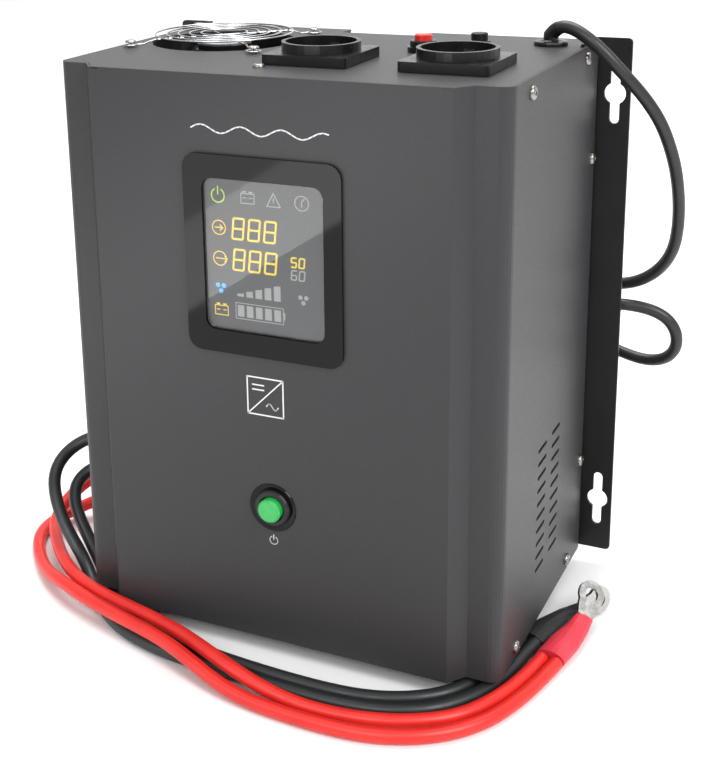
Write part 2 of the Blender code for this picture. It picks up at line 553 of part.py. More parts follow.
# ---------------------------------------------------------------- fan
def fan():
    """A 92 mm axial fan under the top plate: frame, rotor, wire guard and four screws."""
    top = TOP_Z - SHEET - GAP
    low = top - FAN_DEPTH
    half = FAN_SIZE / 2
    outline = rounded(FAN_X - half, FAN_X + half, FAN_Y - half, FAN_Y + half, 4 * MM, 2)
    holes = [ring_points(FAN_X, FAN_Y, FAN_BORE, 32)]
    holes += [ring_points(FAN_X + sx * FAN_HOLES, FAN_Y + sy * FAN_HOLES, SCREW_HOLE, 8)
              for sx in (-1, 1) for sy in (-1, 1)]
    frame = plate("fan_frame", outline, low, top, holes)
    struts = [box("strut", (-FAN_BORE - MM, -2 * MM, low + bottom * MM), (FAN_BORE + MM, 2 * MM, low + top_face * MM))
              for bottom, top_face in ((0.2, 2.4), (0.4, 2.7))]
    for strut, turn in zip(struts, (45, 135)):
        strut.matrix_basis = Matrix.Translation((FAN_X, FAN_Y, 0)) @ Matrix.Rotation(math.radians(turn), 4, "Z")
    motor_seat = cylinder("motor_seat", (FAN_X, FAN_Y, low + 0.1 * MM), (FAN_X, FAN_Y, low + 3 * MM), FAN_HUB, 20)
    join(frame, struts[0], struts[1], motor_seat)
    finish(frame, "fan_frame", BLACK_PLASTIC)

    rotor = cylinder("fan_rotor", (0, 0, 3.6 * MM), (0, 0, 22 * MM), FAN_HUB, 24)
    blades = []
    for i in range(7):
        blade = box("blade", (FAN_HUB - 2 * MM, -0.7 * MM, -9 * MM), (FAN_BLADE - 1.5 * MM, 0.7 * MM, 9 * MM))
        blade.matrix_basis = (Matrix.Rotation(2 * math.pi * i / 7, 4, "Z")
                              @ Matrix.Translation((0, 0, 13 * MM)) @ Matrix.Rotation(math.radians(50), 4, "X"))
        blades.append(blade)
    join(rotor, many("blades", blades))
    bpy.data.objects["blades"].parent = rotor
    rotor.location = (FAN_X, FAN_Y, low)
    finish(rotor, "fan_rotor", BLACK_PLASTIC)

    guard_z = TOP_Z + GUARD_RISE
    rings = [curve_to_mesh(tube("ring", [(FAN_X + x, FAN_Y + y, guard_z + GUARD_WIRE) for x, y in
                                         ring_points(0, 0, radius, 22)], GUARD_WIRE, True, 0))
             for radius in GUARD_RINGS]
    diagonal = FAN_HOLES * math.sqrt(2)
    loop_z = TOP_Z + GUARD_WIRE + GAP
    wires = []
    for turn, drop in ((45, 0), (135, 0.4 * MM)):
        run = [(-diagonal + 4 * MM, loop_z), (-diagonal + 8 * MM, loop_z), (-46 * MM, guard_z - MM),
               (-43 * MM, guard_z - drop), (0, guard_z - drop)]
        run += [(-x, z) for x, z in reversed(run[:-1])]
        spin = Matrix.Translation((FAN_X, FAN_Y, 0)) @ Matrix.Rotation(math.radians(turn), 4, "Z")
        wires.append(curve_to_mesh(tube("wire", [spin @ Vector((x, 0, z)) for x, z in run], GUARD_WIRE,
                                        False, 0)))
    guard = rings.pop(0)
    loops = [curve_to_mesh(tube("loop", [(FAN_X + sx * FAN_HOLES + x, FAN_Y + sy * FAN_HOLES + y, loop_z)
                                         for x, y in ring_points(0, 0, 4.2 * MM, 10)], GUARD_WIRE, True, 0))
             for sx in (-1, 1) for sy in (-1, 1)]
    join(guard, *wires)
    join(guard, many("inner_rings", rings), many("screw_loops", loops))
    finish(guard, "fan_guard", CHROME)
    for i, (sx, sy) in enumerate(((-1, -1), (1, -1), (1, 1), (-1, 1)), 1):
        screw(f"fan_screw_{i}", (FAN_X + sx * FAN_HOLES, FAN_Y + sy * FAN_HOLES, TOP_Z + 2.6 * MM), "Z")


# ---------------------------------------------------------------- top panel fittings
def socket(word, x):
    """A round two-pin socket with side earth clips, in a square panel plate."""
    low = TOP_Z + GAP
    half = SOCKET_PLATE / 2
    outline = rounded(x - half, x + half, SOCKET_Y - half, SOCKET_Y + half, 2 * MM, 2)
    body = plate(f"socket_{word}", outline, low, TOP_Z + SOCKET_PLATE_THICK)
    collar = cylinder("collar", (x, SOCKET_Y, low + MM), (x, SOCKET_Y, TOP_Z + SOCKET_COLLAR_TOP),
                      SOCKET_COLLAR, 32)
    barrel = cylinder("barrel", (x, SOCKET_Y, TOP_Z - SOCKET_BODY_DEPTH), (x, SOCKET_Y, low + 2 * MM),
                      SOCKET_BODY, 32)
    well_floor = TOP_Z + SOCKET_COLLAR_TOP - SOCKET_WELL_DEPTH
    well = cylinder("well", (x, SOCKET_Y, well_floor), (x, SOCKET_Y, TOP_Z + 20 * MM), SOCKET_WELL, 32)
    pins = [cylinder("pin_hole", (x + side * SOCKET_PIN_PITCH / 2, SOCKET_Y, well_floor - 12 * MM),
                     (x + side * SOCKET_PIN_PITCH / 2, SOCKET_Y, well_floor + MM), 2.8 * MM, 12)
            for side in (-1, 1)]
    slots = [box("clip_slot", (x - 3.4 * MM, SOCKET_Y + side * 18.3 * MM - 0.8 * MM, TOP_Z - 30 * MM),
                 (x + 3.4 * MM, SOCKET_Y + side * 18.3 * MM + 0.8 * MM, well_floor + MM)) for side in (-1, 1)]
    join(body, collar, barrel)
    cut(body, well, many(f"pin_holes_{word}", pins), many(f"clip_slots_{word}", slots))
    finish(body, f"socket_{word}", BLACK_PLASTIC)

    under = TOP_Z - SOCKET_BODY_DEPTH - GAP
    thick = 0.8 * MM
    clip = box(f"earth_clip_{word}", (x - 3 * MM, SOCKET_Y - 18.3 * MM - thick / 2, under - thick),
               (x + 3 * MM, SOCKET_Y + 18.3 * MM + thick / 2, under))
    for side in (-1, 1):
        middle = SOCKET_Y + side * 18.3 * MM
        arm = box("arm", (x - 3 * MM, middle - thick / 2, under - thick),
                  (x + 3 * MM, middle + thick / 2, TOP_Z + 7 * MM))
        join(clip, arm)
    finish(clip, f"earth_clip_{word}", NICKEL)


def breaker():
    """The resettable input breaker: a threaded neck with its nut, and a red button that pops up."""
    profile = [(7.2 * MM, 6.6 * MM), (7.6 * MM, 6 * MM), (7.6 * MM, 3 * MM), (9 * MM, 3 * MM), (9 * MM, GAP),
               (6.2 * MM, GAP), (6.2 * MM, -9 * MM), (8.5 * MM, -9 * MM), (8.5 * MM, -30 * MM), (0, -30 * MM)]
    inner = [(0, -6 * MM), (5.3 * MM, -6 * MM), (5.3 * MM, 6.6 * MM), (7.2 * MM, 6.6 * MM)]
    body = turned("breaker_body", inner + profile[1:], (BREAKER_X, BREAKER_Y, TOP_Z), steps=20)
    finish(body, "breaker_body", BLACK_PLASTIC)
    button = [(0, 10.2 * MM), (4.2 * MM, 10.2 * MM), (5 * MM, 9.4 * MM), (5 * MM, -5.6 * MM), (0, -5.6 * MM)]
    finish(turned("breaker_button", button, (BREAKER_X, BREAKER_Y, TOP_Z), steps=20), "breaker_button",
           RED_PLASTIC)


def fuse():
    """A panel fuse holder and its quarter-turn cap with a screwdriver slot."""
    holder = [(0, 1.7 * MM), (6.3 * MM, 1.7 * MM), (6.3 * MM, GAP), (5.1 * MM, GAP), (5.1 * MM, -28 * MM),
              (0, -28 * MM)]
    finish(turned("fuse_holder", holder, (FUSE_X, FUSE_Y, TOP_Z), steps=16), "fuse_holder", BLACK_PLASTIC)
    cap = turned("fuse_cap", [(0, 6.4 * MM), (4.4 * MM, 6.4 * MM), (5 * MM, 5.8 * MM), (5 * MM, 2 * MM),
                              (0, 2 * MM)], (FUSE_X, FUSE_Y, TOP_Z), steps=16)
    slot = box("cap_slot", (FUSE_X - 6 * MM, FUSE_Y - 0.6 * MM, TOP_Z + 5.2 * MM),
               (FUSE_X + 6 * MM, FUSE_Y + 0.6 * MM, TOP_Z + 8 * MM))
    cut(cap, slot)
    finish(cap, "fuse_cap", BLACK_PLASTIC)


def mains_inlet():
    """The bushing that holds the mains lead in the top plate, and its short tapered strain relief."""
    profile = [(0, 3.2 * MM), (5.6 * MM, 3.2 * MM), (6.2 * MM, 2.8 * MM), (9.5 * MM, 2.5 * MM), (9.8 * MM, 1.6 * MM),
               (9.8 * MM, GAP), (7.1 * MM, GAP), (7.1 * MM, -7 * MM), (0, -7 * MM)]
    finish(turned("mains_gland", profile, (GLAND_X, GLAND_Y, TOP_Z), steps=20), "mains_gland", BLACK_PLASTIC)
    line = smooth(MAINS_ROUTE, 3.5 * MM)[:4]
    taper = [1.16 - 0.04 * i for i in range(4)]
    finish(tube("mains_strain_relief", line, MAINS_RADIUS, radii=taper), "mains_strain_relief", BLACK_PLASTIC)


# ---------------------------------------------------------------- front panel fittings
def display():
    """The bezel frame, the lens in its opening, the display module and its board."""
    front = PANEL_Y - GAP
    opening = rounded(*WINDOW_X, *WINDOW_Z, 6 * MM)
    bezel = plate("display_bezel", rounded(*DISPLAY_X, *DISPLAY_Z, 8 * MM), front - 1.6 * MM, front,
                  [opening], upright=True)
    finish(bezel, "display_bezel", BLACK_PLASTIC)
    edge = 0.4 * MM
    lens = plate("display_lens", rounded(WINDOW_X[0] + edge, WINDOW_X[1] - edge, WINDOW_Z[0] + edge,
                                         WINDOW_Z[1] - edge, 5.6 * MM), PANEL_Y, PANEL_Y + SHEET, upright=True)
    finish(lens, "display_lens", CLEAR_LENS)
    behind = PANEL_Y + SHEET + GAP
    low, high = WINDOW_Z
    finish(box("lcd_module", (WINDOW_X[0] - 3 * MM, behind, low - 4 * MM),
               (WINDOW_X[1] + 3 * MM, behind + 4 * MM, high + 4 * MM)), "lcd_module", LCD_GLASS)
    finish(box("display_board", (WINDOW_X[0] - 9 * MM, behind + 4.3 * MM, low - 9 * MM),
               (WINDOW_X[1] + 9 * MM, behind + 5.9 * MM, high + 9 * MM)), "display_board", CIRCUIT_BOARD)


def power_switch():
    """The push switch: a round bezel through the panel, its nut behind, and the green cap."""
    at = (BUTTON_X, PANEL_Y, BUTTON_Z)
    bezel = [(0, -17 * MM), (BUTTON_RADIUS + 0.4 * MM, -17 * MM), (BUTTON_RADIUS + 0.4 * MM, 1.8 * MM),
             (8 * MM, 2.6 * MM), (10.2 * MM, 2.3 * MM), (11 * MM, 1.4 * MM), (11 * MM, GAP), (8 * MM, GAP),
             (8 * MM, -24 * MM), (0, -24 * MM)]
    finish(turned("button_bezel", bezel, at, "-Y", 24), "button_bezel", BLACK_PLASTIC)
    reach = PANEL_Y - BUTTON_FACE_Y
    cap = [(0, reach), (BUTTON_RADIUS - 0.9 * MM, reach), (BUTTON_RADIUS, reach - 0.9 * MM),
           (BUTTON_RADIUS, -13 * MM), (0, -13 * MM)]
    finish(turned("power_button", cap, at, "-Y", 24), "power_button", GREEN_PLASTIC)
    back = PANEL_Y + SHEET + GAP
    nut = plate("switch_nut", ring_points(BUTTON_X, BUTTON_Z, 11.5 * MM, 6), back, back + 3 * MM,
                [ring_points(BUTTON_X, BUTTON_Z, 8.3 * MM, 20)], upright=True)
    finish(nut, "switch_nut", NICKEL)


# ---------------------------------------------------------------- inside
def transformer():
    """A laminated E-I core standing on the bottom plate, and the winding round its middle leg."""
    middle, low = -30 * MM, BASE_Z + SHEET + GAP
    outline = [(middle - 52 * MM, low), (middle + 52 * MM, low), (middle + 52 * MM, low + 88 * MM),
               (middle - 52 * MM, low + 88 * MM)]
    windows = []
    for side in (-1, 1):
        ends = sorted((middle + side * 17 * MM, middle + side * 35 * MM))
        windows.append([(ends[0], low + 18 * MM), (ends[1], low + 18 * MM), (ends[1], low + 70 * MM),
                        (ends[0], low + 70 * MM)])
    finish(plate("transformer_core", outline, -38 * MM, 12 * MM, windows, upright=True), "transformer_core",
           LAMINATION)
    outer = rounded(middle - 34.3 * MM, middle + 34.3 * MM, -55 * MM, 29 * MM, 9 * MM, 3)
    inner = rounded(middle - 17.6 * MM, middle + 17.6 * MM, -38.6 * MM, 12.6 * MM, 1 * MM, 1)
    finish(plate("transformer_winding", outer, low + 19 * MM, low + 69 * MM, [inner]), "transformer_winding",
           WINDING_TAPE)


def heatsink(word, x):
    """An extruded comb of fins on the main board."""
    back = BACK_Y - SHEET - 8 * MM - 1.6 * MM - 2 * GAP
    base = back - 4 * MM
    pitch, fin, count = 11 * MM, 2 * MM, 7
    start = x - (pitch * (count - 1) + fin) / 2
    outline = [(start, back), (start + pitch * (count - 1) + fin, back)]
    for i in reversed(range(count)):
        left = start + i * pitch
        outline += [(left + fin, base - 26 * MM), (left, base - 26 * MM)]
        if i:
            outline += [(left, base), (left - pitch + fin, base)]
    finish(plate(f"heatsink_{word}", outline, 195 * MM, 290 * MM), f"heatsink_{word}", ALUMINIUM)


def electronics():
    """The main board on its posts, two heatsinks, two capacitors and the battery terminal block."""
    board_back = BACK_Y - SHEET - 8 * MM - GAP
    board_front = board_back - 1.6 * MM
    finish(box("main_board", (-112 * MM, board_front, 108 * MM), (112 * MM, board_back, 302 * MM)), "main_board",
           CIRCUIT_BOARD)
    heatsink("left", -62 * MM)
    heatsink("right", 62 * MM)
    for i, x in enumerate((-24 * MM, 24 * MM), 1):
        can = cylinder(f"capacitor_{i}", (x, board_front - GAP, 150 * MM), (x, board_front - 45 * MM, 150 * MM),
                       17.5 * MM)
        finish(can, f"capacitor_{i}", CAPACITOR_SLEEVE)
    low = BASE_Z + SHEET + GAP
    block = box("battery_terminal_block", (-124 * MM, -28 * MM, low), (-100 * MM, 52 * MM, low + 24 * MM))
    bays = [box("bay", (-125 * MM, y - 8 * MM, low + 14 * MM), (-105 * MM, y + 8 * MM, low + 30 * MM))
            for y in (-14 * MM, 12 * MM, 38 * MM)]
    cut(block, many("bays", bays))
    finish(block, "battery_terminal_block", BLACK_PLASTIC)


# ---------------------------------------------------------------- cables
def grommet(word, y, z, look):
    """An oval rubber grommet in the left wall, with the cables leaving its outer face."""
    turn = Matrix(((0, 0, 1, 0), (1, 0, 0, 0), (0, 1, 0, 0), (0, 0, 0, 1)))
    outer = plate(f"battery_grommet_{word}", rounded(y - 9 * MM, y + 9 * MM, z - 19 * MM, z + 19 * MM, 8.5 * MM),
                  -HALF - 3.4 * MM, -HALF - GAP)
    neck = plate("neck", rounded(y - 6.6 * MM, y + 6.6 * MM, z - 16.6 * MM, z + 16.6 * MM, 6.5 * MM),
                 -HALF - MM, -HALF + SHEET + 0.1 * MM)
    for piece in (outer, neck):
        piece.data.transform(turn @ piece.matrix_basis)
        piece.matrix_basis = Matrix.Identity(4)
    join(outer, neck)
    finish(outer, f"battery_grommet_{word}", look)


def battery_cables():
    """Two red and two black battery cables, each pair ending in one heat-shrink sleeve and ring lug."""
    routes = (("negative_cable_1", NEGATIVE_1_ROUTE, BLACK_CABLE), ("negative_cable_2", NEGATIVE_2_ROUTE, BLACK_CABLE),
              ("positive_cable_1", POSITIVE_1_ROUTE, RED_CABLE), ("positive_cable_2", POSITIVE_2_ROUTE, RED_CABLE))
    for name, route, look in routes:
        finish(tube(name, smooth(route, 15 * MM), BATTERY_RADIUS), name, look)
    grommet("negative", -8 * MM, 70 * MM, RUBBER)
    grommet("positive", 30 * MM, 34 * MM, RUBBER)


def cable_end(word, centres, sizes, axis, twist, look):
    """A heat-shrink sleeve over two cables, and the ring lug that it grips."""
    axis = Vector(axis).normalized()
    flat = axis.cross(Vector((0, 0, 1))).normalized()
    upward = flat.cross(axis)
    spin = Matrix.Rotation(math.radians(twist), 3, axis)
    palm_side, palm_normal = spin @ flat, spin @ upward
    stations = []
    points = [Vector(c) * MM for c in centres]
    for i, (centre, (wide, high)) in enumerate(zip(points, sizes)):
        ahead = points[min(i + 1, len(points) - 1)] - points[max(i - 1, 0)]
        part = i / (len(points) - 1)
        across = ahead.cross(Vector((0, 0, 1))).normalized().lerp(palm_side, part ** 2).normalized()
        over = across.cross(ahead).normalized()
        stations.append((centre, across * wide * MM, over * high * MM))
    finish(loft(f"{word}_sleeve", stations), f"{word}_sleeve", look)

    outline = [(-5 * MM, 0), (5 * MM, 0), (6.4 * MM, 6 * MM)]
    outline += arc(0, 14 * MM, 8.3 * MM, -38, 218, 14)
    outline.append((-6.4 * MM, 6 * MM))
    palm = plate(f"{word}_lug", outline, -1.1 * MM, 1.1 * MM, [ring_points(0, 14 * MM, 4.2 * MM, 18)])
    start = points[-1] + axis * 0.9 * MM
    basis = Matrix((palm_side, axis, palm_normal)).transposed().to_4x4()
    palm.data.transform(Matrix.Translation(start) @ basis)
    finish(palm, f"{word}_lug", TINNED_COPPER)


def cable_ends():
    cable_end("positive", ((149, -35.4, 5.3), (152.5, -18, 6.2), (155.8, -5, 8), (158, 5.2, 11.2)),
              ((9, 5), (8.8, 5.2), (6.8, 4.4), (5.6, 3.2)), (0.04, 0.8, 0.6), 40, RED_SLEEVE)
    cable_end("negative", ((132.8, -20.2, 4.6), (138.4, -4, 4.9), (145, 9.5, 6), (152.5, 19.5, 7)),
              ((9, 4.4), (7.8, 4.4), (5.4, 4.4), (5, 3.2)), (0.5, 0.85, 0.15), 78, BLACK_SLEEVE)


def mains_lead():
    """The mains lead: over the top corner, one loose loop behind the case, a tied coil and a plug."""
    line = smooth(MAINS_ROUTE, 3.5 * MM)[3:]
    first = line[0].lerp(line[1], 0.7)
    finish(tube("mains_cord", [first, *smooth([p / MM for p in line[1:]], 13 * MM)], MAINS_RADIUS), "mains_cord",
           CORD_PVC)
    finish(tube("mains_cord_tail", smooth(TAIL_ROUTE, 8 * MM), MAINS_RADIUS), "mains_cord_tail", CORD_PVC)
    inner, outer = COIL_RADIUS - MAINS_RADIUS, COIL_RADIUS + MAINS_RADIUS
    low, high, soft = 0.25 * MM, COIL_HEIGHT, 2.2 * MM
    ring = [(inner + soft, high), (outer - soft, high), (outer, high - soft), (outer, low + soft),
            (outer - soft, low), (inner + soft, low), (inner, low + soft), (inner, high - soft),
            (inner + soft, high)]
    finish(turned("mains_coil", ring, (*COIL_CENTRE, 0), steps=32), "mains_coil", CORD_PVC)

    height = 19.2 * MM
    at = (-41 * MM, 185.2 * MM, height)
    plug_profile = [(0, 62 * MM), (17.5 * MM, 62 * MM), (18.6 * MM, 60 * MM), (18.6 * MM, 40 * MM),
                    (15 * MM, 32 * MM), (9 * MM, 26 * MM), (6.5 * MM, 20 * MM), (4.9 * MM, 0), (0, 0)]
    plug = turned("mains_plug", plug_profile, at, "-X", 24)
    pins = [cylinder("plug_pin", (at[0] - 55 * MM, at[1] + side * SOCKET_PIN_PITCH / 2, height),
                     (at[0] - 81 * MM, at[1] + side * SOCKET_PIN_PITCH / 2, height), 2.4 * MM, 12)
            for side in (-1, 1)]
    join(plug, many("plug_pins", pins))
    finish(plug, "mains_plug", BLACK_PLASTIC)


def build():
    for obj in list(bpy.data.objects):
        bpy.data.objects.remove(obj)
    for collection in (part_collection, cutter_collection):
        bpy.context.scene.collection.children.link(collection)
    front_cover()
    chassis()
    for side, word in ((-1, "left"), (1, "right")):
        mounting_bracket(side, word)
        for height, (y, z) in zip(("upper", "lower"), BRACKET_SCREWS):
            screw(f"bracket_screw_{height}_{word}", (side * HALF, y, z), "+X" if side > 0 else "-X")
    feet()
    fan()
    for word, x in zip(("left", "right"), SOCKET_X):
        socket(word, x)
    breaker()
    fuse()
    mains_inlet()
    display()
    power_switch()
    transformer()
    electronics()
    battery_cables()
    cable_ends()
    mains_lead()


build()
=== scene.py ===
"""Visual model of the wall-mounted power inverter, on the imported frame. Metres, front towards -Y."""
import math

import bmesh
import bpy
from mathutils import Matrix, Vector


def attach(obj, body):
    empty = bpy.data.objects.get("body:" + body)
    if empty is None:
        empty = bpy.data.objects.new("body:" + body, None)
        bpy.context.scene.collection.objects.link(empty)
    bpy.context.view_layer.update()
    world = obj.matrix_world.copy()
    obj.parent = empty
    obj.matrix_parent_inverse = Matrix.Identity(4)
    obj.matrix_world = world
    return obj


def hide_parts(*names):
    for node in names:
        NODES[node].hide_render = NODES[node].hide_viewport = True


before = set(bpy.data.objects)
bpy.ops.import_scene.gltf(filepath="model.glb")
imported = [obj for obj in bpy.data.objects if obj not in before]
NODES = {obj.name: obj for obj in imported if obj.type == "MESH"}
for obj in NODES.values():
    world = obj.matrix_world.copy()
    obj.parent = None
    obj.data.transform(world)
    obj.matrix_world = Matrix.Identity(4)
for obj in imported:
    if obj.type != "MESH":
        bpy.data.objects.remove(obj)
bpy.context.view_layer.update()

MM = 0.001

# Measures that several pieces share, in mm unless another unit is given
SIDE_X = 132.5                    # outer face of each side wall
PANEL_Y = -89.0                   # front of the raised panel
SCREEN_Y = -87.52                 # front of the display module
TOP_Z = 340                       # top plate
FAN_X, FAN_Y = -81, 23            # the fan's axis
FAN_HOLES = 41.25                 # from the fan's axis to its screws, along X and along Y
BUTTON_X, BUTTON_Z = 1.5, 95      # middle of the push switch
CORD_RADIUS = 3.75                # mains lead
CABLE_RADIUS = 4.1                # each battery cable
SHARP_ANGLE = 32                  # edges sharper than this stay sharp, in degrees


# ---------------------------------------------------------------- camera
def make_camera():
    """The photograph's viewpoint."""
    yaw, pitch, roll = 0.4617, 0.2782, -0.0227
    back = Vector((math.sin(yaw) * math.cos(pitch), -math.cos(yaw) * math.cos(pitch), math.sin(pitch)))
    right = (-back).cross(Vector((0, 0, 1))).normalized()
    up = right.cross(-back)
    right, up = (right * math.cos(roll) + up * math.sin(roll), up * math.cos(roll) - right * math.sin(roll))
    data = bpy.data.cameras.new("camera")
    data.lens = 63.64
    data.sensor_width = 36
    data.shift_x = 0.10
    data.shift_y = -0.20
    camera = bpy.data.objects.new("camera", data)
    bpy.context.scene.collection.objects.link(camera)
    turn = Matrix((right, up, back)).transposed().to_4x4()
    camera.matrix_world = Matrix.Translation((0.3262, -0.7196, 0.4574)) @ turn
    bpy.context.scene.camera = camera


# ---------------------------------------------------------------- materials
def shader(name, colour, roughness, metallic=0.0, **sockets):
    """A Principled material with its uniform values on the shader's own sockets."""
    made = bpy.data.materials.new(name)
    made.use_nodes = True
    bsdf = made.node_tree.nodes["Principled BSDF"]
    bsdf.inputs["Base Color"].default_value = (*colour, 1)
    bsdf.inputs["Roughness"].default_value = roughness
    bsdf.inputs["Metallic"].default_value = metallic
    for key, value in sockets.items():
        bsdf.inputs[key.replace("_", " ")].default_value = value
    return made


def noise(made, scale, detail, stretch):
    """A noise texture in object space, in metres."""
    tree = made.node_tree
    place = tree.nodes.new("ShaderNodeTexCoord")
    mapping = tree.nodes.new("ShaderNodeMapping")
    mapping.inputs["Scale"].default_value = stretch
    texture = tree.nodes.new("ShaderNodeTexNoise")
    texture.inputs["Scale"].default_value = scale
    texture.inputs["Detail"].default_value = detail
    tree.links.new(place.outputs["Object"], mapping.inputs["Vector"])
    tree.links.new(mapping.outputs["Vector"], texture.inputs["Vector"])
    return texture


def grain(made, scale, strength, depth, stretch=(1, 1, 1)):
    """Fine relief on the surface."""
    tree = made.node_tree
    bump = tree.nodes.new("ShaderNodeBump")
    bump.inputs["Strength"].default_value = strength
    bump.inputs["Distance"].default_value = depth
    tree.links.new(noise(made, scale, 5, stretch).outputs["Fac"], bump.inputs["Height"])
    tree.links.new(bump.outputs["Normal"], tree.nodes["Principled BSDF"].inputs["Normal"])
    return made


def vary(made, socket, low, high, scale, stretch=(1, 1, 1)):
    """Slow variation of a colour or a roughness between two values."""
    tree = made.node_tree
    ramp = tree.nodes.new("ShaderNodeValToRGB")
    ramp.color_ramp.elements[0].position = 0.3
    ramp.color_ramp.elements[1].position = 0.7
    ends = [(v, v, v, 1) if isinstance(v, float) else (*v, 1) for v in (low, high)]
    ramp.color_ramp.elements[0].color, ramp.color_ramp.elements[1].color = ends
    tree.links.new(noise(made, scale, 4, stretch).outputs["Fac"], ramp.inputs["Fac"])
    tree.links.new(ramp.outputs["Color"], tree.nodes["Principled BSDF"].inputs[socket])
    return made


def make_materials():
    """Every material, under the short name that the pieces ask for."""
    made = {}
    paint = shader("powder_coat", (0.033, 0.0335, 0.0355), 0.45, Specular_IOR_Level=0.3)
    vary(paint, "Base Color", (0.031, 0.0315, 0.0335), (0.0355, 0.036, 0.038), 700)
    vary(paint, "Roughness", 0.41, 0.49, 900)
    made["paint"] = grain(paint, 1500, 0.25, 0.00006)
    black = shader("bracket_black", (0.005, 0.005, 0.0055), 0.42, Specular_IOR_Level=0.4)
    vary(black, "Roughness", 0.38, 0.52, 80)
    made["bracket"] = grain(black, 1800, 0.2, 0.00005)
    nickel = shader("nickel_plate", (0.32, 0.3, 0.28), 0.3, 1.0)
    vary(nickel, "Roughness", 0.2, 0.36, 900)
    made["nickel"] = grain(nickel, 3000, 0.1, 0.00002)
    chrome = shader("chrome_wire", (0.5, 0.51, 0.53), 0.16, 1.0)
    made["chrome"] = vary(chrome, "Roughness", 0.1, 0.2, 500)
    plastic = shader("black_plastic", (0.006, 0.006, 0.0065), 0.3, Specular_IOR_Level=0.4)
    vary(plastic, "Roughness", 0.25, 0.36, 150)
    made["plastic"] = grain(plastic, 2500, 0.15, 0.00003)
    gloss = shader("gloss_black", (0.005, 0.005, 0.0055), 0.06, Specular_IOR_Level=0.2)
    made["gloss"] = vary(gloss, "Roughness", 0.05, 0.08, 40)
    rubber = shader("rubber", (0.014, 0.014, 0.015), 0.75)
    made["rubber"] = grain(rubber, 2200, 0.4, 0.00008)
    cord = shader("cord_pvc", (0.012, 0.0125, 0.013), 0.4)
    vary(cord, "Roughness", 0.34, 0.48, 120)
    made["cord"] = grain(cord, 1600, 0.2, 0.00004)
    cable = shader("black_cable", (0.014, 0.016, 0.017), 0.42)
    vary(cable, "Roughness", 0.36, 0.5, 120)
    made["black_cable"] = grain(cable, 1400, 0.25, 0.00005)
    red = shader("red_cable", (0.72, 0.018, 0.012), 0.4, Subsurface_Weight=0.05)
    vary(red, "Base Color", (0.68, 0.015, 0.01), (0.78, 0.024, 0.016), 60)
    made["red_cable"] = grain(red, 1400, 0.25, 0.00005)
    sleeve = shader("red_sleeve", (0.7, 0.035, 0.06), 0.42)
    vary(sleeve, "Base Color", (0.66, 0.028, 0.05), (0.76, 0.045, 0.075), 90)
    made["red_sleeve"] = grain(sleeve, 700, 0.35, 0.0001)
    dark = shader("black_sleeve", (0.01, 0.01, 0.011), 0.5)
    made["black_sleeve"] = grain(dark, 700, 0.35, 0.0001)
    tin = shader("tinned_copper", (0.52, 0.51, 0.49), 0.24, 1.0)
    vary(tin, "Roughness", 0.15, 0.34, 260)
    made["tin"] = grain(tin, 900, 0.15, 0.00005)
    green = shader("green_cap", (0.02, 0.42, 0.08), 0.28, Coat_Weight=0.4, Coat_Roughness=0.12)
    made["green"] = vary(green, "Base Color", (0.018, 0.38, 0.07), (0.024, 0.46, 0.09), 200)
    red_cap = shader("red_cap", (0.62, 0.02, 0.015), 0.28, Coat_Weight=0.4, Coat_Roughness=0.12)
    made["red_cap"] = vary(red_cap, "Base Color", (0.58, 0.018, 0.012), (0.66, 0.024, 0.018), 200)
    made["lens"] = shader("clear_lens", (0.93, 0.94, 0.95), 0.02, Transmission_Weight=1.0, IOR=1.45)
    panel = shader("display_panel", (0.075, 0.076, 0.078), 0.35)
    made["panel"] = vary(panel, "Base Color", (0.073, 0.074, 0.076), (0.078, 0.079, 0.081), 30)
    board = shader("circuit_board", (0.012, 0.13, 0.045), 0.4)
    made["board"] = vary(board, "Base Color", (0.01, 0.11, 0.035), (0.016, 0.16, 0.055), 250)
    core = shader("laminations", (0.30, 0.29, 0.28), 0.45, 0.8)
    made["core"] = grain(core, 500, 0.5, 0.0002, (0.05, 12, 0.05))
    tape = shader("winding_tape", (0.62, 0.45, 0.06), 0.4)
    made["tape"] = grain(tape, 300, 0.4, 0.0002, (0.2, 0.2, 3))
    alu = shader("aluminium", (0.68, 0.69, 0.71), 0.36, 1.0)
    made["aluminium"] = grain(alu, 900, 0.2, 0.00004, (4, 4, 0.1))
    can = shader("capacitor_sleeve", (0.02, 0.035, 0.13), 0.3)
    made["can"] = vary(can, "Roughness", 0.24, 0.36, 150)
    label = shader("fan_label", (0.36, 0.39, 0.43), 0.3)
    made["label"] = vary(label, "Base Color", (0.3, 0.33, 0.37), (0.42, 0.45, 0.49), 300)
    print_white = shader("print_white", (0.72, 0.72, 0.73), 0.5)
    made["print"] = grain(print_white, 3000, 0.1, 0.00002)
    for key, colour, power in (("yellow", (0.93, 0.7, 0.05), 0.35), ("lime", (0.5, 0.72, 0.04), 0.45),
                               ("blue", (0.05, 0.42, 0.85), 0.7), ("grey", (0.34, 0.34, 0.33), 0.4)):
        lit = shader("lcd_" + key, colour, 0.5, Emission_Strength=power)
        lit.node_tree.nodes["Principled BSDF"].inputs["Emission Color"].default_value = (*colour, 1)
        made[key] = vary(lit, "Base Color", tuple(c * 0.9 for c in colour), colour, 300)
    return made


LOOKS = make_materials()


# ---------------------------------------------------------------- helpers
def piece(name, data, look, body="case", replaces=()):
    """A finished piece: placed, given its material, riding on its body."""
    obj = bpy.data.objects.new(name, data)
    bpy.context.scene.collection.objects.link(obj)
    data.materials.clear()
    data.materials.append(LOOKS[look])
    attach(obj, body)
    if replaces:
        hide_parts(*replaces)
    return obj


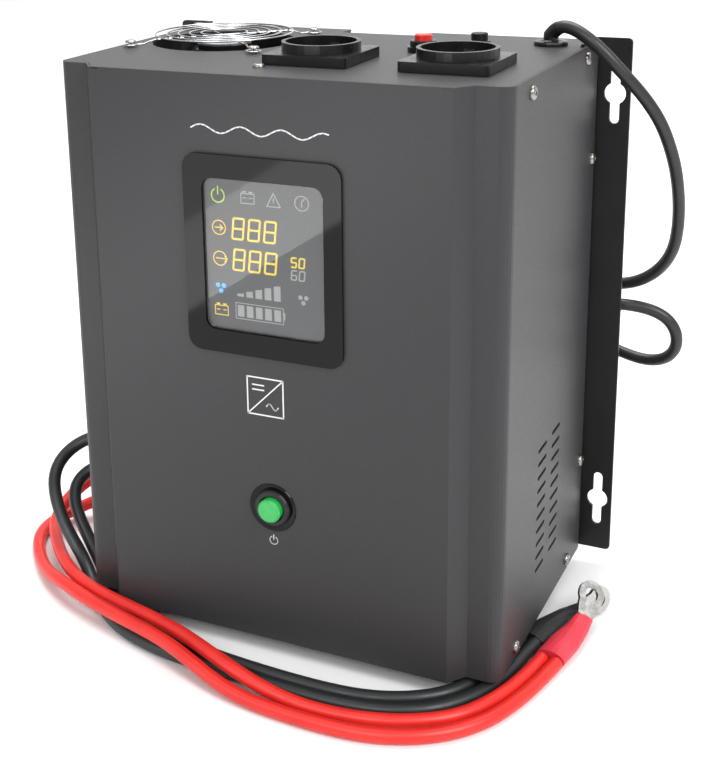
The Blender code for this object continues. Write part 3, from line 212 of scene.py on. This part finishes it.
def mesh_from(name, build, angle=SHARP_ANGLE):
    """A mesh whose shape the given function makes in a bmesh, shaded smooth with sharp edges kept."""
    shape = bmesh.new()
    build(shape)
    bmesh.ops.recalc_face_normals(shape, faces=shape.faces)
    mesh = bpy.data.meshes.new(name)
    shape.to_mesh(mesh)
    shape.free()
    mesh.shade_smooth()
    mesh.set_sharp_from_angle(angle=math.radians(angle))
    return mesh


def arc(cx, cy, radius, start, end, count):
    """Points on a circle from one angle to another, in degrees, both ends included."""
    angles = [math.radians(start + (end - start) * i / count) for i in range(count + 1)]
    return [(cx + radius * math.cos(a), cy + radius * math.sin(a)) for a in angles]


def lathe(shape, profile, matrix=None, steps=48):
    """Turn a profile of (radius, height) round Z into the bmesh."""
    matrix = matrix or Matrix.Identity(4)
    rings = []
    for radius, height in profile:
        if radius < 1e-7:
            rings.append([shape.verts.new(matrix @ Vector((0, 0, height)))])
        else:
            rings.append([shape.verts.new(matrix @ Vector((x, y, height)))
                          for x, y in arc(0, 0, radius, 0, 360 - 360 / steps, steps - 1)])
    for one, two in zip(rings, rings[1:]):
        for i in range(steps):
            j = (i + 1) % steps
            corners = [one[i % len(one)], one[j % len(one)], two[j % len(two)], two[i % len(two)]]
            unique = list(dict.fromkeys(corners))
            if len(unique) > 2:
                shape.faces.new(unique)


def catmull(route, spacing, rounds=12):
    """Evenly spaced, relaxed points on one smooth curve through a route given in mm."""
    points = [Vector(p) * MM for p in route]
    points = [2 * points[0] - points[1], *points, 2 * points[-1] - points[-2]]
    dense = []
    for a, b, c, d in zip(points, points[1:], points[2:], points[3:]):
        for i in range(20):
            t = i / 20
            dense.append(0.5 * (2 * b + (c - a) * t + (2 * a - 5 * b + 4 * c - d) * t ** 2
                                + (3 * b - a - 3 * c + d) * t ** 3))
    dense.append(points[-2])
    result = [dense[0]]
    for point in dense[1:-1]:
        if (point - result[-1]).length >= spacing * MM:
            result.append(point)
    result.append(dense[-1])
    for _ in range(rounds):
        result = [result[0], result[1], *[(a + 2 * b + c) / 4 for a, b, c in
                                          zip(result[1:], result[2:-1], result[3:])], result[-1]]
    return result


def join_curves(name, lines, radius, resolution=4):
    """One curve object's data from several lines, each (points, cyclic)."""
    curve = bpy.data.curves.new(name, "CURVE")
    curve.dimensions = "3D"
    curve.bevel_depth = radius
    curve.bevel_resolution = resolution
    curve.use_fill_caps = True
    for points, cyclic in lines:
        spline = curve.splines.new("POLY")
        spline.points.add(len(points) - 1)
        for point, co in zip(spline.points, points):
            point.co = (*co, 1)
        spline.use_cyclic_u = cyclic
        spline.use_smooth = True
    return curve


def tube(name, points, radius):
    """Curve data for one round tube through points, rounder than a thin wire needs."""
    return join_curves(name, [(points, False)], radius, 7)


# ---------------------------------------------------------------- cords
MAINS_ROUTE = (
    (111, 64, 343.5), (111.1, 63.9, 347.2), (112.9, 63.6, 350.8), (116.6, 62.8, 352.9),
    (121.4, 61.4, 352.2), (127.6, 59.8, 349.4), (135, 58.3, 345), (141.4, 58.3, 339.7), (148.1, 60, 332.5),
    (155, 63.5, 324.1), (161.8, 68, 315.7), (167.4, 73, 306.8), (172.2, 78, 297.5), (175.5, 82.5, 288.1),
    (178, 86.5, 278.5), (180.1, 90.5, 268.9), (181.4, 94.5, 257.8), (182.1, 98.5, 245.9),
    (181.9, 102.5, 231.3), (180.1, 106.5, 216.9), (176.2, 110, 205.6), (169.4, 113.2, 196.2),
    (159.8, 116.5, 188.2), (148.5, 119.5, 183), (130.5, 122, 181), (117, 124, 179.5), (104, 127, 174),
    (96.6, 129.5, 160.8), (101.6, 131.7, 147.6), (114, 133, 141.2), (126, 133.8, 137.4),
    (138.5, 133, 134.4), (150, 131.5, 131.3), (162, 129.5, 129.8), (173.2, 126.8, 132.7),
    (180.7, 123.8, 140.5), (182.6, 121, 151.2), (179, 118.5, 161.5), (171, 116.5, 168), (159.5, 114.2, 171),
    (145, 112, 172), (130, 110, 169.5), (115.5, 108.5, 162), (103.5, 108, 149.5), (95.5, 108.5, 132.5),
    (92, 110, 112), (90.5, 113, 91), (88.5, 117.5, 71), (85.3, 123, 53), (82.2, 128.6, 40),
    (78.8, 134.4, 28.2))
TAIL_ROUTE = (
    (21, 188.2, 4.2), (8, 185.2, 4.2), (-4, 185.2, 5.6), (-17, 185.2, 10.2), (-29, 185.2, 15.6),
    (-40, 185.2, 18.8), (-42.5, 185.2, 18.8))
NEGATIVE_1_ROUTE = (
    (-136.2, -8, 80), (-152, -8, 79.5), (-170, -10.5, 76.5), (-181.5, -17, 71.5), (-187, -26.5, 65.5),
    (-187.5, -37, 58.5), (-183, -45, 50), (-175.5, -51, 39.5), (-167, -55.5, 28.5), (-157.3, -57.5, 18.5),
    (-147.5, -62.5, 10.2), (-137.5, -72, 5.2), (-126, -83, 4.2), (-111, -96, 4.2), (-94, -107, 4.2),
    (-76, -113.5, 4.2), (-58, -117.5, 4.2), (-38, -119.5, 4.2), (-16, -120.9, 4.2), (4, -122, 4.2),
    (22, -122.5, 4.2), (38, -123.2, 4.2), (56, -122.6, 4.2), (73, -120, 4.2), (89, -115, 4.2),
    (104, -106.3, 4.2), (114.8, -94.6, 4.2), (123, -81.5, 4.2), (127.8, -67, 4.2), (131.6, -52, 4.2),
    (133.6, -37, 4.3), (136.6, -23, 4.6))
NEGATIVE_2_ROUTE = (
    (-136.2, -8, 60), (-152, -8.3, 59.6), (-166, -12, 57), (-175.5, -19.5, 52.5), (-178, -29.5, 46),
    (-172.5, -37.5, 36.8), (-163, -43, 26.8), (-153.5, -47.5, 16.8), (-144, -53, 8.6), (-134, -61, 4.8),
    (-120, -73, 4.2), (-104, -84.5, 4.2), (-88, -94.5, 4.2), (-70, -101, 4.2), (-50, -106.5, 4.2),
    (-30, -110, 4.2), (-12, -111.8, 4.2), (4, -113, 4.2), (24, -113.8, 4.2), (43, -113.8, 4.2),
    (61, -112.4, 4.2), (78, -108, 4.2), (93, -100.5, 4.2), (106, -90, 4.2), (114.2, -77.2, 4.2),
    (118.8, -63.6, 4.2), (122, -49.5, 4.2), (124.8, -35, 4.3), (127.9, -21.5, 4.6))
POSITIVE_1_ROUTE = (
    (-136.2, 30, 44), (-152, 29.5, 43.5), (-172, 24.5, 40), (-189, 14, 33), (-200, 0, 24),
    (-203, -14, 15.5), (-197, -28, 13), (-187, -41, 13.2), (-176, -53.5, 13.4), (-164, -65, 13.4),
    (-151, -75.5, 13.2), (-136, -84, 13), (-114, -92, 13), (-89, -98, 12.8), (-68, -103.5, 12.8),
    (-47, -110.5, 12.8), (-28, -119, 12.8), (-8, -127, 12), (10, -131.5, 9), (28, -133, 5.6),
    (45, -133, 4.2), (60, -132, 4.2), (76, -129.3, 4.2), (92, -124, 4.2), (106.2, -116.3, 4.2),
    (118.6, -106.5, 4.2), (127.3, -93.5, 4.2), (134, -79, 4.2), (138.8, -63.5, 4.2), (142, -49, 4.3),
    (144.4, -35.9, 4.6))
POSITIVE_2_ROUTE = (
    (-136.2, 30, 24), (-152, 29.5, 23.4), (-173, 25, 19), (-192, 15.5, 12), (-206, 1.5, 6.5),
    (-211.5, -14, 4.3), (-208.5, -30, 4.2), (-199, -45, 4.2), (-187, -58.5, 4.4), (-174, -71, 6.5),
    (-160, -81.5, 10), (-145, -90, 12.6), (-128, -97.5, 12.8), (-104, -105.5, 12.8), (-80, -112.5, 12.8),
    (-58, -119, 12.6), (-38, -126.5, 10.8), (-18, -134, 7.4), (2, -139.5, 4.8), (20, -142, 4.2),
    (38, -143.3, 4.2), (56, -143.7, 4.2), (74, -142.5, 4.2), (90, -138.7, 4.2), (105, -132, 4.2),
    (118, -123, 4.2), (129, -111, 4.2), (137.3, -96.7, 4.2), (143, -80.7, 4.2), (147.3, -65, 4.2),
    (150.6, -50, 4.3), (153, -37.6, 4.6))


def coil_points():
    """Just over three stacked turns on the floor, from where the lead comes down to where the tail leaves."""
    cx, cy, radius, floor = 35, 144, 41, 4.2
    first_x, first_y, _ = MAINS_ROUTE[-1]
    start = math.degrees(math.atan2(first_y - cy, first_x - cx))
    total = 3 * 360 + (90 - start)
    widens = 1010                 # degrees turned before the last turn opens out towards the tail
    points = []
    for i in range(61):
        turned = total * i / 60
        angle = math.radians(start + turned)
        wide = radius + 4.5 * max(0.0, (turned - widens) / (total - widens))
        height = max(floor, 27.0 - 7.75 * turned / 360)
        points.append((cx + wide * math.cos(angle), cy + wide * math.sin(angle), height))
    return points


def make_mains():
    """The mains lead as one line: sleeve, arch, loose loop, coil on the floor, plug."""
    points = catmull([*MAINS_ROUTE[:-1], *coil_points(), *TAIL_ROUTE], 2.5)
    obj = piece("mains_lead", tube("mains_lead", points, CORD_RADIUS * MM), "cord",
                replaces=("mains_cord", "mains_coil", "mains_cord_tail"))
    data = mesh_from("strain_relief", lambda shape: sleeve_round(shape, points[:5], 4.5, 4.0))
    relief = piece("strain_relief", data, "plastic", replaces=("mains_strain_relief",))


def sleeve_round(shape, line, low, high):
    """A short tapered sleeve round a bent line, closed at both ends."""
    rings = []
    for i, centre in enumerate(line):
        ahead = (line[min(i + 1, len(line) - 1)] - line[max(i - 1, 0)]).normalized()
        side = Vector((0, 1, 0)).cross(ahead).normalized()
        over = ahead.cross(side)
        radius = low + (high - low) * i / (len(line) - 1)
        rings.append([shape.verts.new(centre + (side * x + over * y) * MM)
                      for x, y in arc(0, 0, radius, 0, 345, 23)])
    for one, two in zip(rings, rings[1:]):
        for i in range(24):
            j = (i + 1) % 24
            shape.faces.new((one[i], one[j], two[j], two[i]))
    shape.faces.new(rings[0])
    shape.faces.new(rings[-1])


def make_battery_cables():
    """Two red and two black cables, each pair into its sleeve."""
    table = (("negative_cable_1", NEGATIVE_1_ROUTE, "black_cable", "negative"),
             ("negative_cable_2", NEGATIVE_2_ROUTE, "black_cable", "negative"),
             ("positive_cable_1", POSITIVE_1_ROUTE, "red_cable", "positive"),
             ("positive_cable_2", POSITIVE_2_ROUTE, "red_cable", "positive"))
    for name, route, look, pole in table:
        points = catmull(route, 3)
        data = tube(name, points, CABLE_RADIUS * MM)
        obj = piece(name.replace("cable_", "lead_"), data, look, replaces=(name,))


make_camera()
make_mains()
make_battery_cables()


# ---------------------------------------------------------------- carried-over solids
FINISHES = {
    "front_cover": "paint", "chassis": "paint", "mounting_bracket_left": "bracket",
    "mounting_bracket_right": "bracket", "foot_front_left": "rubber", "foot_front_right": "rubber",
    "foot_rear_left": "rubber", "foot_rear_right": "rubber", "fan_frame": "plastic", "fan_rotor": "plastic",
    "socket_left": "plastic", "socket_right": "plastic", "earth_clip_left": "nickel",
    "earth_clip_right": "nickel", "breaker_body": "plastic", "breaker_button": "red_cap",
    "fuse_holder": "plastic", "fuse_cap": "plastic", "mains_gland": "plastic", "mains_plug": "plastic",
    "display_bezel": "gloss", "display_lens": "lens", "lcd_module": "panel", "display_board": "board",
    "button_bezel": "plastic", "power_button": "green", "switch_nut": "nickel", "transformer_core": "core",
    "transformer_winding": "tape", "main_board": "board", "heatsink_left": "aluminium",
    "heatsink_right": "aluminium", "capacitor_1": "can", "capacitor_2": "can",
    "battery_terminal_block": "plastic", "battery_grommet_negative": "rubber",
    "battery_grommet_positive": "rubber", "positive_sleeve": "red_sleeve", "negative_sleeve": "black_sleeve",
    "positive_lug": "tin", "negative_lug": "tin"}
BEVELS = {
    "front_cover": 0.5, "chassis": 0.4, "mounting_bracket_left": 0.6, "mounting_bracket_right": 0.6,
    "socket_left": 0.6, "socket_right": 0.6, "display_bezel": 0.45, "positive_lug": 0.35, "negative_lug": 0.35,
    "mains_plug": 0.7, "fan_frame": 0.5, "transformer_core": 0.5, "battery_terminal_block": 0.6}


def dress_nodes():
    """Materials for the solids shown as they are, and softened edges on the larger ones."""
    for name, look in FINISHES.items():
        node = NODES[name]
        for material_slot in node.material_slots:
            material_slot.material = LOOKS[look]
    for name, width in BEVELS.items():
        bevel = NODES[name].modifiers.new("edge", "BEVEL")
        bevel.width = width * MM
        bevel.segments = 2
        bevel.limit_method = "ANGLE"
        bevel.angle_limit = math.radians(SHARP_ANGLE)
        bevel.harden_normals = False


dress_nodes()


# ---------------------------------------------------------------- screws
def screw_mesh(name, radius, height, length):
    """A pan head with a cross recess, standing on z = 0, its shank below."""
    def build(shape):
        top = height * 0.97 * MM
        profile = [(radius * 0.5 * MM, top)]
        for angle in range(15, 91, 15):
            a = math.radians(angle)
            profile.append(((radius * (0.5 + 0.5 * math.sin(a))) * MM,
                            height * (0.22 + 0.75 * math.cos(a)) * MM))
        profile += [(radius * MM, 0.02 * MM), (1.8 * MM, 0.02 * MM),
                    (1.8 * MM, -length * MM), (0, -length * MM)]
        lathe(shape, profile, steps=32)
        wide, reach, deep = radius * 0.13 * MM, radius * 0.44 * MM, height * 0.6 * MM
        cross = [(wide, wide), (wide, reach), (-wide, reach), (-wide, wide), (-reach, wide), (-reach, -wide),
                 (-wide, -wide), (-wide, -reach), (wide, -reach), (wide, -wide), (reach, -wide), (reach, wide)]
        outer = [v for v in shape.verts if abs(v.co.z - top) < 1e-7]
        outer.sort(key=lambda v: math.atan2(v.co.y, v.co.x))
        inner = [shape.verts.new((x, y, top)) for x, y in cross]
        low = [shape.verts.new((x * 0.72, y * 0.72, top - deep)) for x, y in cross]
        edges = [e for e in shape.edges if all(v in outer for v in e.verts)]
        edges += [shape.edges.new((inner[i], inner[(i + 1) % 12])) for i in range(12)]
        bmesh.ops.triangle_fill(shape, edges=edges, use_beauty=True)
        for face in [f for f in shape.faces if all(v in inner for v in f.verts)]:
            shape.faces.remove(face)
        for i in range(12):
            j = (i + 1) % 12
            shape.faces.new((inner[i], inner[j], low[j], low[i]))
        shape.faces.new(low)
    return mesh_from(name, build)


def make_screws():
    """Pan-head screws on the side walls, the fan guard and the top plate."""
    side = screw_mesh("side_screw", 3.9, 2.3, 4)
    small = screw_mesh("top_screw", 3.4, 2.0, 4)
    flat = screw_mesh("guard_screw", 3.4, 1.5, 4)
    for word, sign in (("right", 1), ("left", -1)):
        turn = Matrix.Rotation(sign * math.pi / 2, 4, "Y")
        for level, z in (("upper", 270.5), ("lower", 74.5)):
            obj = piece(f"bracket_pan_screw_{level}_{word}", side.copy(), "nickel",
                        replaces=(f"bracket_screw_{level}_{word}",))
            obj.matrix_world = Matrix.Translation((sign * SIDE_X * MM, 83 * MM, z * MM)) @ turn
        for i, (y, z) in enumerate(((-46.5, 332), (64, 333), (-50, 17), (58, 17)), 1):
            obj = piece(f"cover_screw_{word}_{i}", side.copy(), "nickel")
            spin = Matrix.Rotation(math.radians(23 * i), 4, "Z")
            obj.matrix_world = Matrix.Translation((sign * SIDE_X * MM, y * MM, z * MM)) @ turn @ spin
    for i, (sx, sy) in enumerate(((-1, -1), (1, -1), (1, 1), (-1, 1)), 1):
        obj = piece(f"guard_screw_{i}", flat.copy(), "nickel", replaces=(f"fan_screw_{i}",))
        spin = Matrix.Rotation(math.radians(31 * i), 4, "Z")
        at = ((FAN_X + sx * FAN_HOLES) * MM, (FAN_Y + sy * FAN_HOLES) * MM, 342.9 * MM)
        obj.matrix_world = Matrix.Translation(at) @ spin
    obj = piece("top_plate_screw", small, "nickel")
    obj.matrix_world = Matrix.Translation((-14.5 * MM, -61 * MM, TOP_Z * MM))


make_screws()


# ---------------------------------------------------------------- fan guard
def make_guard():
    """Five wire rings on two cross wires that drop to looped feet."""
    wire, top = 0.55 * MM, 345.2 * MM
    centre = Vector((FAN_X * MM, FAN_Y * MM, 0))
    lines = []
    for radius in (42, 35, 28, 21, 14):
        lines.append(([centre + Vector((x * MM, y * MM, top)) for x, y in arc(0, 0, radius, 0, 354, 59)], True))
    under = top - 1.6 * MM
    foot = 341.4 * MM
    for turn, sink in ((45, 0), (135, 0.5 * MM)):
        run = [(54.2, foot), (50, foot), (48.5, foot + 0.6 * MM), (46.6, foot + 1.2 * MM),
               (45, under - 0.7 * MM), (43.4, under - 0.2 * MM), (41.5, under - sink), (20, under - sink)]
        line = [(-x, z) for x, z in run] + [(x, z) for x, z in reversed(run)]
        spin = Matrix.Rotation(math.radians(turn), 4, "Z")
        lines.append(([centre + spin @ Vector((x * MM, 0, z)) for x, z in line], False))
        for side in (-1, 1):
            hook = centre + spin @ Vector((side * FAN_HOLES * math.sqrt(2) * MM, 0, foot))
            lines.append(([hook + Vector((x * MM, y * MM, 0)) for x, y in arc(0, 0, 4.2, 0, 345, 23)], True))
    piece("fan_wire_guard", join_curves("fan_wire_guard", lines, wire), "chrome",
          replaces=("fan_guard",))


make_guard()


def make_fan_label():
    """The cap of the fan's hub and the round label on it, under the guard."""
    axis = Matrix.Translation((FAN_X * MM, FAN_Y * MM, 0))
    cap = ((0, 339.6), (15.8, 339.6), (16.5, 338.9), (16.5, 335.4), (0, 335.4))
    disc = ((0, 339.8), (13.5, 339.8), (13.5, 339.65), (0, 339.65))
    for name, outline, look in (("fan_hub_cap", cap, "plastic"), ("fan_hub_label", disc, "label")):
        profile = [(radius * MM, height * MM) for radius, height in outline]
        data = mesh_from(name, lambda shape: lathe(shape, profile, axis))
        piece(name, data, look, body="fan_rotor")


make_fan_label()


# ---------------------------------------------------------------- display and prints
def flat_shapes(name, shapes, y, look, thick=0.04):
    """Thin solid shapes standing on a front plane; each is an outline of (x, z) in mm."""
    def build(shape):
        for outline in shapes:
            front = [shape.verts.new((x * MM, (y - thick) * MM, z * MM)) for x, z in outline]
            back = [shape.verts.new((x * MM, y * MM, z * MM)) for x, z in outline]
            shape.faces.new(front)
            shape.faces.new(back[::-1])
            for i in range(len(outline)):
                j = (i + 1) % len(outline)
                shape.faces.new((front[j], front[i], back[i], back[j]))
    return piece(name, mesh_from(name, build), look)


def stroke(points, width, closed=False):
    """Short quads along a line of (x, z) points."""
    quads = []
    ends = points + [points[0]] if closed else points
    for (x0, z0), (x1, z1) in zip(ends, ends[1:]):
        length = math.hypot(x1 - x0, z1 - z0)
        ux, uz = (x1 - x0) / length, (z1 - z0) / length
        px, pz = -uz * width / 2, ux * width / 2
        ex, ez = ux * width * 0.3, uz * width * 0.3
        quads.append([(x0 - ex + px, z0 - ez + pz), (x0 - ex - px, z0 - ez - pz), (x1 + ex - px, z1 + ez - pz),
                      (x1 + ex + px, z1 + ez + pz)])
    return quads


SEGMENTS = {"0": "abcdef", "5": "acdfg", "6": "acdefg", "8": "abcdefg"}


def digit(char, x, z, wide, high, weight):
    """A slanted seven-segment digit with small gaps between its segments."""
    gap, mid = weight * 0.35, high / 2
    lines = {"a": ((gap, high), (wide - gap, high)), "d": ((gap, 0), (wide - gap, 0)),
             "g": ((gap, mid), (wide - gap, mid)), "f": ((0, mid + gap), (0, high - gap)),
             "b": ((wide, mid + gap), (wide, high - gap)), "e": ((0, gap), (0, mid - gap)),
             "c": ((wide, gap), (wide, mid - gap))}
    quads = []
    for key in SEGMENTS[char]:
        (x0, z0), (x1, z1) = lines[key]
        quads += [[(x + px + 0.1 * pz, z + pz) for px, pz in quad]
                  for quad in stroke([(x0, z0), (x1, z1)], weight)]
    return quads


def box_outline(x, z, wide, high, width=0.5):
    """A rectangle drawn as four strokes."""
    return stroke([(x, z), (x + wide, z), (x + wide, z + high), (x, z + high)], width, True)


def battery_icon(x, z):
    """A battery case with two posts and two short bars inside."""
    shapes = box_outline(x, z, 8, 5.4)
    strokes = ((1.2, 2.8, 6.3, 0.9), (5.2, 6.8, 6.3, 0.9), (1.2, 3, 3, 0.5), (5, 6.8, 3, 0.5))
    for left, right, height, weight in strokes:
        shapes += stroke([(x + left, z + height), (x + right, z + height)], weight)
    return shapes


def fan_icon(x, z, size=3.4):
    """Three round blades."""
    shapes = []
    for turn in (30, 150, 270):
        a = math.radians(turn)
        cx, cz = x + size * 0.62 * math.cos(a), z + size * 0.62 * math.sin(a)
        shapes.append([(cx + size * 0.4 * math.cos(b), cz + size * 0.4 * math.sin(b))
                       for b in [2 * math.pi * i / 14 for i in range(14)]])
    return shapes


def make_display():
    """Segments and symbols on the display module, behind the lens."""
    yellow = []
    for row in (250.5, 233):
        for i in range(3):
            yellow += digit("8", -19.5 + 9.6 * i, row, 6.4, 11.6, 1.2)
        yellow += stroke(arc(-27.5, row + 5.5, 4, 0, 345, 23), 0.55, True)
    yellow += stroke([(-30, 256), (-25.4, 256)], 0.6)
    yellow += stroke([(-26.8, 257.6), (-25.2, 256), (-26.8, 254.4)], 0.6)
    yellow += stroke([(-29.8, 238.5), (-23, 238.5)], 0.6)
    yellow += stroke([(-24.6, 240.1), (-23, 238.5), (-24.6, 236.9)], 0.6)
    yellow += digit("5", 15.5, 238.5, 3, 5.2, 0.9) + digit("0", 20.2, 238.5, 3, 5.2, 0.9)
    yellow += battery_icon(-31.5, 206)
    flat_shapes("display_digits", yellow, SCREEN_Y, "yellow")
    power = stroke(arc(-27.5, 274, 3.9, 120, 420, 20), 0.65) + stroke([(-27.5, 274.6), (-27.5, 279)], 0.65)
    flat_shapes("display_power_symbol", power, SCREEN_Y, "lime")
    flat_shapes("display_fan_symbol", fan_icon(-27.5, 222), SCREEN_Y, "blue")
    grey = battery_icon(-13.5, 271) + stroke([(2, 270.6), (10, 270.6), (6, 278)], 0.55, True)
    grey += stroke([(6, 275.4), (6, 273)], 0.6) + stroke(arc(22.5, 274, 4, 0, 345, 23), 0.55, True)
    grey += stroke([(22.5, 275), (24, 276.6)], 0.6) + stroke([(22.5, 272), (22.5, 275)], 0.6)
    grey += digit("6", 15.5, 231.4, 3, 5.2, 0.8) + digit("0", 20.2, 231.4, 3, 5.2, 0.8)
    for i in range(5):
        left = -17.5 + 5.6 * i
        grey.append([(left, 218), (left + 4, 218), (left + 4, 220 + 1.7 * i), (left, 219.4 + 1.7 * i)])
        grey.append([(left, 206.4), (left + 4, 206.4), (left + 4, 213), (left, 213)])
    grey += box_outline(-18.6, 205.2, 29, 9, 0.45) + stroke([(11, 208), (11, 211.6)], 0.9)
    grey += fan_icon(22.5, 221, 3.2)
    flat_shapes("display_dim_symbols", grey, SCREEN_Y, "grey")


def make_prints():
    """Small generic marks on the front panel: a sine wave above the display, a power symbol by the button."""
    wave = [(-42 + 3 * i, 310.5 + 2.2 * math.sin(i * math.pi / 4)) for i in range(28)]
    flat_shapes("sine_mark", stroke(wave, 0.75), PANEL_Y, "print", 0.06)
    symbol = stroke(arc(BUTTON_X, 74.5, 2.5, 120, 420, 18), 0.5)
    symbol += stroke([(BUTTON_X, 75), (BUTTON_X, 78)], 0.5)
    flat_shapes("power_mark", symbol, PANEL_Y, "print", 0.06)


def make_converter_mark():
    """The standard sign for a converter: a square cut by a diagonal, two lines above it and a wave below."""
    left, low, size = -12.5, 150.5, 22
    shapes = box_outline(left, low, size, size, 0.8) + stroke([(left, low), (left + size, low + size)], 0.7)
    shapes += stroke([(left + 3.2, low + 17.6), (left + 10.2, low + 17.6)], 0.8)
    shapes += stroke([(left + 3.2, low + 14.8), (left + 10.2, low + 14.8)], 0.8)
    wave = [(left + 11.6 + 0.6 * i, low + 5.6 + 1.7 * math.sin(i * math.pi / 6)) for i in range(13)]
    flat_shapes("converter_mark", shapes + stroke(wave, 0.8), PANEL_Y, "print", 0.06)


def make_button_dish_shade():
    """The shallow dished ring that the push switch sits in, in gloss black as painted shade for the dark recess
    of the panel's dimple.
    """
    profile = [(10.9 * MM, 0.15 * MM), (12.6 * MM, 0.3 * MM), (13.6 * MM, 0.75 * MM), (14.2 * MM, 0.7 * MM),
               (14.5 * MM, 0.3 * MM), (14.5 * MM, 0.02 * MM), (10.9 * MM, 0.02 * MM), (10.9 * MM, 0.15 * MM)]
    matrix = Matrix.Translation((BUTTON_X * MM, PANEL_Y * MM, BUTTON_Z * MM))
    matrix = matrix @ Matrix.Rotation(math.pi / 2, 4, "X")
    data = mesh_from("switch_dish_shade", lambda shape: lathe(shape, profile, matrix, 64))
    piece("switch_dish_shade", data, "gloss")


def make_slit_shades():
    """Flat black plates as painted shade inside the slits where the top fold of the cover stops short of the
    raised panel's corners.
    """
    for word, sign in (("left", -1), ("right", 1)):
        outline = [(sign * 99.5, 338.6), (sign * 99.5, 340), (sign * 104, 340), (sign * 104, 339)]
        ordered = outline if sign < 0 else outline[::-1]
        flat_shapes(f"fold_relief_shade_{word}", [ordered], PANEL_Y, "plastic", 0.05)


make_display()
make_prints()
make_converter_mark()
make_button_dish_shade()
make_slit_shades()


# ---------------------------------------------------------------- floor and light
def area_light(name, size, power):
    """A rectangular lamp that the camera does not see."""
    data = bpy.data.lights.new(name, "AREA")
    data.shape = "RECTANGLE"
    data.size, data.size_y = size
    data.energy = power
    light = bpy.data.objects.new(name, data)
    light.visible_camera = False
    bpy.context.scene.collection.objects.link(light)
    return light


def make_stage():
    """A pale floor that curves up behind, and soft studio light."""
    def build(shape):
        profile = [(-3.0, 0), (1.6, 0)]
        profile += [(1.6 + 0.8 * math.sin(math.radians(a)), 0.8 - 0.8 * math.cos(math.radians(a)))
                    for a in range(10, 91, 10)]
        profile.append((2.4, 3.2))
        rows = [[shape.verts.new((x, y, z - 0.0002)) for y, z in profile] for x in (-4, 4)]
        for i in range(len(profile) - 1):
            shape.faces.new((rows[0][i], rows[1][i], rows[1][i + 1], rows[0][i + 1]))
    mesh = mesh_from("floor", build, 60)
    floor = bpy.data.objects.new("floor", mesh)
    bpy.context.scene.collection.objects.link(floor)
    look = shader("floor_paper", (0.9, 0.9, 0.9), 0.6)
    mesh.materials.append(vary(look, "Roughness", 0.55, 0.65, 5))
    world = bpy.data.worlds.new("studio")
    world.use_nodes = True
    world.node_tree.nodes["Background"].inputs["Color"].default_value = (1, 1, 1, 1)
    world.node_tree.nodes["Background"].inputs["Strength"].default_value = 0.7
    bpy.context.scene.world = world
    bpy.context.scene.view_settings.view_transform = "Standard"
    for name, at, aim, size, power in (("key", (1.5, -0.7, 1.5), (0, 0, 0.2), (0.9, 0.9), 30),
                                       ("top", (-0.2, 0.5, 1.8), (0, 0, 0.3), (1.4, 1.0), 30),
                                       ("backdrop", (0, 1.0, 1.7), (0, 2.4, 0.9), (2.6, 0.8), 15),
                                       ("front", (0.1, -2.0, 1.5), (0, 0, 0.25), (1.0, 0.7), 14)):
        light = area_light(name, size, power)
        light.location = at
        light.rotation_euler = (Vector(aim) - Vector(at)).to_track_quat("-Z", "Y").to_euler()


def make_gloss_card():
    """A slanted card in three bands that only glossy surfaces see, for the sheen across the display."""
    slant = math.radians(33.2)
    c, s = math.cos(slant), math.sin(slant)
    turn = Matrix(((c, 0, s), (-s, 0, c), (0, -1, 0))).transposed().to_4x4()
    band = 0.06
    for i, energy in enumerate((0.3, 0.12, 0.03)):
        light = area_light(f"gloss_card_{i}", (0.5, band), energy)
        up = band * (i - 1)
        light.matrix_world = Matrix.Translation((-0.184 - s * up, -0.35, 0.222 + c * up)) @ turn
        light.visible_diffuse = False
        light.visible_transmission = False


make_stage()
make_gloss_card()
